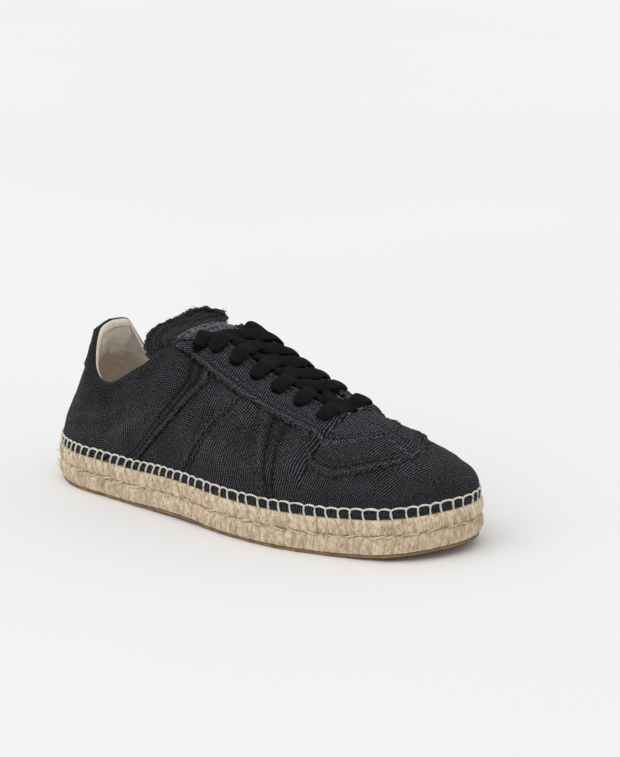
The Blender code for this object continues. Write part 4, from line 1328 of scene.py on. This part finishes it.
def make_blanket_stitch():
    """Cream cord: an upright from the jute, then along the top to the next one."""
    places = stitch_places()
    draw = np.random.default_rng(82)
    gap = np.append(places[1:], GIRTH) - places
    u = round_shoe(places)
    side = np.where(u <= TIP, 1, -1)
    lean = (side * (2.0 - 3.2 * smooth(4.0, 8.0, station_of(u)))
            + draw.uniform(-0.5, 0.5, len(places)))
    foot = STITCH_FOOT + draw.uniform(-0.4, 0.3, len(places))
    top = STITCH_TOP + draw.uniform(-0.3, 0.3, len(places))
    rows = []
    for t, up, inset in UPRIGHT:
        q = places + lean * t - side * 0.55 * math.sin(np.pi * max(t, 0))
        rows.append(sole_point(q, foot + (top - foot) * up, np.full(len(q), inset)))
    for t in (0.12, 0.35, 0.6, 0.85, 1.0):
        q = places + lean + (gap + np.roll(lean, -1) - lean) * t
        z = top + (np.roll(top, -1) - top) * t + 0.9 * np.sin(np.pi * t) ** 0.8
        rows.append(sole_point(q, z, 1.75 + 0.1 * (z - STITCH_TOP)))
    path = np.stack([spline(one, 22) for one in np.stack(rows, 1)])
    width = 0.59 * (1 + 0.16 * ripple(path, 3.0, 83))
    tubes("blanket_stitch_cord", path, (0, 0, 1), width, width, 8, CREAM_CORD)


def deck(height, inset, rows, columns):
    """Grid across the sole: rows from heel to toe, columns from lateral to medial."""
    s = np.linspace(0, TIP, rows)
    s = TIP * (0.5 - 0.5 * np.cos(np.pi * s / TIP)) * 0.5 + s * 0.5
    left, right = (point - inset * normal
                   for point, normal in (sole_outline(s), sole_outline(ROUND - s)))
    t = np.linspace(0, 1, columns)[None, :, None]
    return risen(left[:, None] * (1 - t) + right[:, None] * t, height)


def side_distance(grid):
    across = millimetres(grid, 1)
    return np.minimum(across, across[:, -1:] - across)


def make_outsole():
    """Thin gum sheet, trimmed by hand: its edge wanders and small steps cross its tread."""
    low = deck(0.0, GUM_SHEET, DECK_ROWS, DECK_COLUMNS)
    zigzag = 4.4 * np.abs(np.mod(low[..., 1] / 6, 2) - 1)
    to_step = np.abs(np.mod(low[..., 0] + zigzag, TREAD_PITCH) - TREAD_PITCH / 2)
    low[..., 2] += TREAD_DEPTH * smooth(2.9, 3.2, to_step) * smooth(5, 7, side_distance(low))
    u = np.linspace(0, ROUND, EDGE_COLUMNS)
    point = sole_outline(u)[0]
    wander = 0.2 * ripple(point, 17, 91) + 0.12 * ripple(point, 5, 92)
    thick = GUM_SHEET + 0.15 * ripple(point, 21, 93)
    sides = np.stack([round_sole(u, thick * share, inset - wander * trimmed)
                      for share, inset, trimmed in GUM_SIDE], 1)
    side_uv = np.stack([np.broadcast_to(u[:, None] * 29, sides.shape[:2]), sides[..., 2]], -1)
    piece = form("gum_outsole", [(low, low[..., :2]), (sides, side_uv)], GUM)
    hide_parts("outsole")


def make_footbed():
    """Insole board under cotton, dished a little by its foam."""
    top = deck(FOOTBED_TOP, FOOTBED_INSET, FOOTBED_ROWS, FOOTBED_COLUMNS)
    round_over = np.clip(np.minimum(side_distance(top), 3.0) / 3.0, 0, 1)
    top[..., 2] += 0.2 - 1.2 * (1 - round_over) ** 2 + 0.15 * ripple(top, 30, 95)
    base = deck(FOOTBED_BASE, FOOTBED_INSET + 0.2, FOOTBED_ROWS, FOOTBED_COLUMNS)
    sides = [np.stack([top[:, k], base[:, k]], 1) for k in (0, -1)]
    ends = [np.stack([top[k], base[k]], 1) for k in (0, -1)]
    patches = ([(level, level[..., :2]) for level in (top, base)]
               + [(wall, wall[..., ::2]) for wall in sides]
               + [(wall, wall[..., 1:]) for wall in ends])
    piece = form("cotton_footbed", patches, LINING_COTTON)
    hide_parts("insole")


make_jute_row("jute_row_lower", LOWER_ROW, -0.55, 51)
make_jute_row("jute_row_upper", UPPER_ROW, 0.6, 61)
make_jute_chain()
make_jute_hairs()
make_blanket_stitch()
make_outsole()
make_footbed()

# ---- raw edges and sewing ----
THREAD_STOPS = (-0.35, 0.0, 0.35, 0.7, 1.0)
THREADS_A_MM, NUBS_A_MM = 2.05, 1.0
STITCH_PITCH, STITCH_LENGTH = 3.1, 2.3
# One lockstitch: (share of its length, lift over the cloth).
BEAD = ((0, -0.25), (0.2, 0.12), (0.5, 0.2), (0.8, 0.12), (1, -0.25))


def add_wall_edges():
    """The raw edges of the cloths that lap over each other on the wall."""
    v = np.linspace(0.01, 0.68, 90)
    for edge, way in zip(WALL_EDGES, (1, -1, -1)):
        for back in (0, 0.13, 0.27):
            s = np.full(v.shape, edge - way * back)
            for side, u in both(leaning(s, v)):
                lift = laps(s, v)[0] + folds(u, v)
                if back:
                    SEAMS.append((on_skin(u, v, lift + 0.05), skin_normal(u, v)))
                else:
                    out = skin(u - 0.05 * way * side, v) - skin(u, v)
                    RAW_EDGES.append((on_skin(u, v, lift + 0.1), out, skin_normal(u, v), 1.0))


def frayed_places(draw, edge, a_mm):
    """Random places along a raw edge: point, outward way, up way and the edge's own way."""
    line, out, up, amount = edge
    run = millimetres(line, 0)
    count = max(int(run[-1] * a_mm * amount), 4)
    at = np.sort(draw.uniform(0, run[-1], count))
    along = unit(np.gradient(line, axis=0))
    return [at_run(values, run, at) for values in (line, unit(out), up, along)]


def make_raw_edges(name, edges, material):
    """Threads combed out of every raw edge."""
    draw = np.random.default_rng(101)
    places = zip(*(frayed_places(draw, edge, THREADS_A_MM) for edge in edges))
    start, out, up, along = map(np.vstack, places)
    n = len(start)
    length = draw.gamma(3.0, 0.42, n)[:, None] + 0.5
    slant = draw.normal(0, 0.75, n)[:, None]
    lift = draw.uniform(-0.05, 0.4, n)[:, None]
    curl = draw.normal(0, 0.35, n)[:, None]
    path = np.stack([start + out * length * t
                     + along * length * (slant * max(t, 0) ** 1.5 + curl * t * t)
                     + up * (lift * t * length * (1 - 0.8 * max(t, 0)) + 0.05)
                     for t in THREAD_STOPS], 1)
    size = draw.uniform(0.12, 0.22, n)[:, None] * np.array([1, 1, 1, 0.85, 0.5])
    tubes(name, path, up[:, None], size, size, 3, material)


def make_frayed_rims(name, edges, material, size, reach=1.0):
    """Lumpy nubs of felted yarn that washing leaves along every raw edge."""
    draw = np.random.default_rng(102)
    paths, ups, sizes = [], [], []
    for edge in edges:
        spot, way, high, along = frayed_places(draw, edge, NUBS_A_MM)
        n = len(spot)
        turn = draw.normal(0, 0.9, n)[:, None]
        head = way * np.cos(turn) + along * np.sin(turn)
        side = np.cross(high, head)
        length = draw.uniform(0.9, 2.6, n)[:, None] * size * reach
        spot = spot + way * draw.uniform(-1.3, 0.4, n)[:, None] * size
        spot = spot + high * draw.uniform(-0.15, 0.25, n)[:, None]
        curl = draw.normal(0, 0.5, n)[:, None]
        paths.append(np.stack([spot + head * length * t + side * curl * math.sin(3 * t)
                               + high * 0.35 * math.sin(2.6 * t)
                               for t in (0, 0.25, 0.5, 0.75, 1)], 1))
        ups.append(high)
        sizes.append(draw.uniform(0.3, 0.6, n)[:, None] * size
                     * np.array([0.7, 1, 1.0, 0.9, 0.45]))
    sizes = np.vstack(sizes)
    tubes(name, np.vstack(paths), np.vstack(ups)[:, None], sizes, sizes, 4, material)


def make_seams():
    """Lockstitch: each stitch a short bead of thread sunk in the cloth."""
    stitches = []
    for line, up in SEAMS:
        run = millimetres(line, 0)
        at = np.arange(0.5, run[-1] - 2.5, STITCH_PITCH)
        stitches.append([at_run(values, run, at + shift)
                         for values, shift in ((line, 0), (line, STITCH_LENGTH), (up, 1.1))])
    start, end, up = map(np.vstack, zip(*stitches))
    up = unit(up)
    path = np.stack([start * (1 - t) + end * t + up * lift for t, lift in BEAD], 1)
    tubes("lockstitch_thread", path, up[:, None], 0.26, 0.24, 5, SEWING_THREAD)


add_wall_edges()
make_raw_edges("raw_edge_threads", RAW_EDGES, RAW_YARN)
make_raw_edges("pale_edge_threads", PALE_EDGES, PALE_YARN)
make_frayed_rims("frayed_rims", RAW_EDGES, RAW_YARN, 1.0)
make_frayed_rims("faded_rims", FRINGES, FADED_YARN, 1.1)
make_raw_edges("fringe_threads", FRINGES, FADED_YARN)
make_frayed_rims("pale_tufts", PALE_EDGES, PALE_YARN, 2.1, 0.35)
make_seams()

# ---- floor, light and camera ----
FLOOR_HALF = 14.0
# Soft suns: name, azimuth, elevation and spread in degrees, strength.
LIGHTS = (("soft_key_left", 245, 48, 50, 0.75), ("soft_top", 320, 75, 60, 0.45))
ROOM_STRENGTH = 0.72
# Camera: degrees, metres and millimetres; it aims right of and above AIM_FROM, by the shoe's
# middle on the floor.
AZIMUTH, ELEVATION = 37.45, 14.99
DISTANCE = 1.51213
LENS = 122.07
AIM_RIGHT, AIM_UP, AIM_FROM = 0.03082, 0.07619, (-0.0001, 0.0023, 0.0)


def set_stage():
    """Pale paper floor that reaches out of sight round the shoe."""
    build = bmesh.new()
    bmesh.ops.create_grid(build, x_segments=24, y_segments=24, size=FLOOR_HALF)
    mesh = bpy.data.meshes.new("paper_floor")
    build.to_mesh(mesh)
    build.free()
    floor = put("paper_floor", mesh)
    # Matt white paper: an almost even pale grey with faint clouds.
    material, tree, shader = finish_of("matt_white_paper", 0.9, 0.1)
    cloud = noise(tree, add(tree, "TexCoord", {}).outputs["Object"], 1.5, 2.0)
    tree.links.new(tones(tree, ((0.3, "#eeeeee"), (0.7, "#f1f1f1")), cloud),
                   shader.inputs["Base Color"])
    mesh.materials.append(material)


def set_light():
    world = bpy.data.worlds.new("white_room")
    world.use_nodes = True
    room = world.node_tree.nodes["Background"]
    room.inputs["Color"].default_value = (1.0, 1.0, 1.0, 1.0)
    room.inputs["Strength"].default_value = ROOM_STRENGTH
    bpy.context.scene.world = world
    for name, azimuth, elevation, spread_angle, strength in LIGHTS:
        light = bpy.data.lights.new(name, "SUN")
        light.energy = strength
        light.angle = math.radians(spread_angle)
        put(name, light).rotation_euler = (math.radians(90 - elevation), 0,
                                           math.radians(azimuth + 90))


def set_camera():
    az, el = math.radians(AZIMUTH), math.radians(ELEVATION)
    right = np.array([math.cos(az), math.sin(az), 0])
    back = np.array([math.sin(az) * math.cos(el), -math.cos(az) * math.cos(el), math.sin(el)])
    up = np.cross(back, right)
    aim = right * AIM_RIGHT + up * AIM_UP + np.array(AIM_FROM)
    data = bpy.data.cameras.new("camera")
    data.lens = LENS
    data.sensor_width = 36
    data.sensor_fit = "AUTO"
    data.clip_end = 60
    camera = put("camera", data)
    camera.location = aim + back * DISTANCE
    camera.rotation_euler = (math.pi / 2 - el, 0, az)
    bpy.context.scene.camera = camera


set_stage()
set_light()
set_camera()
bpy.context.scene.view_settings.view_transform = "Standard"
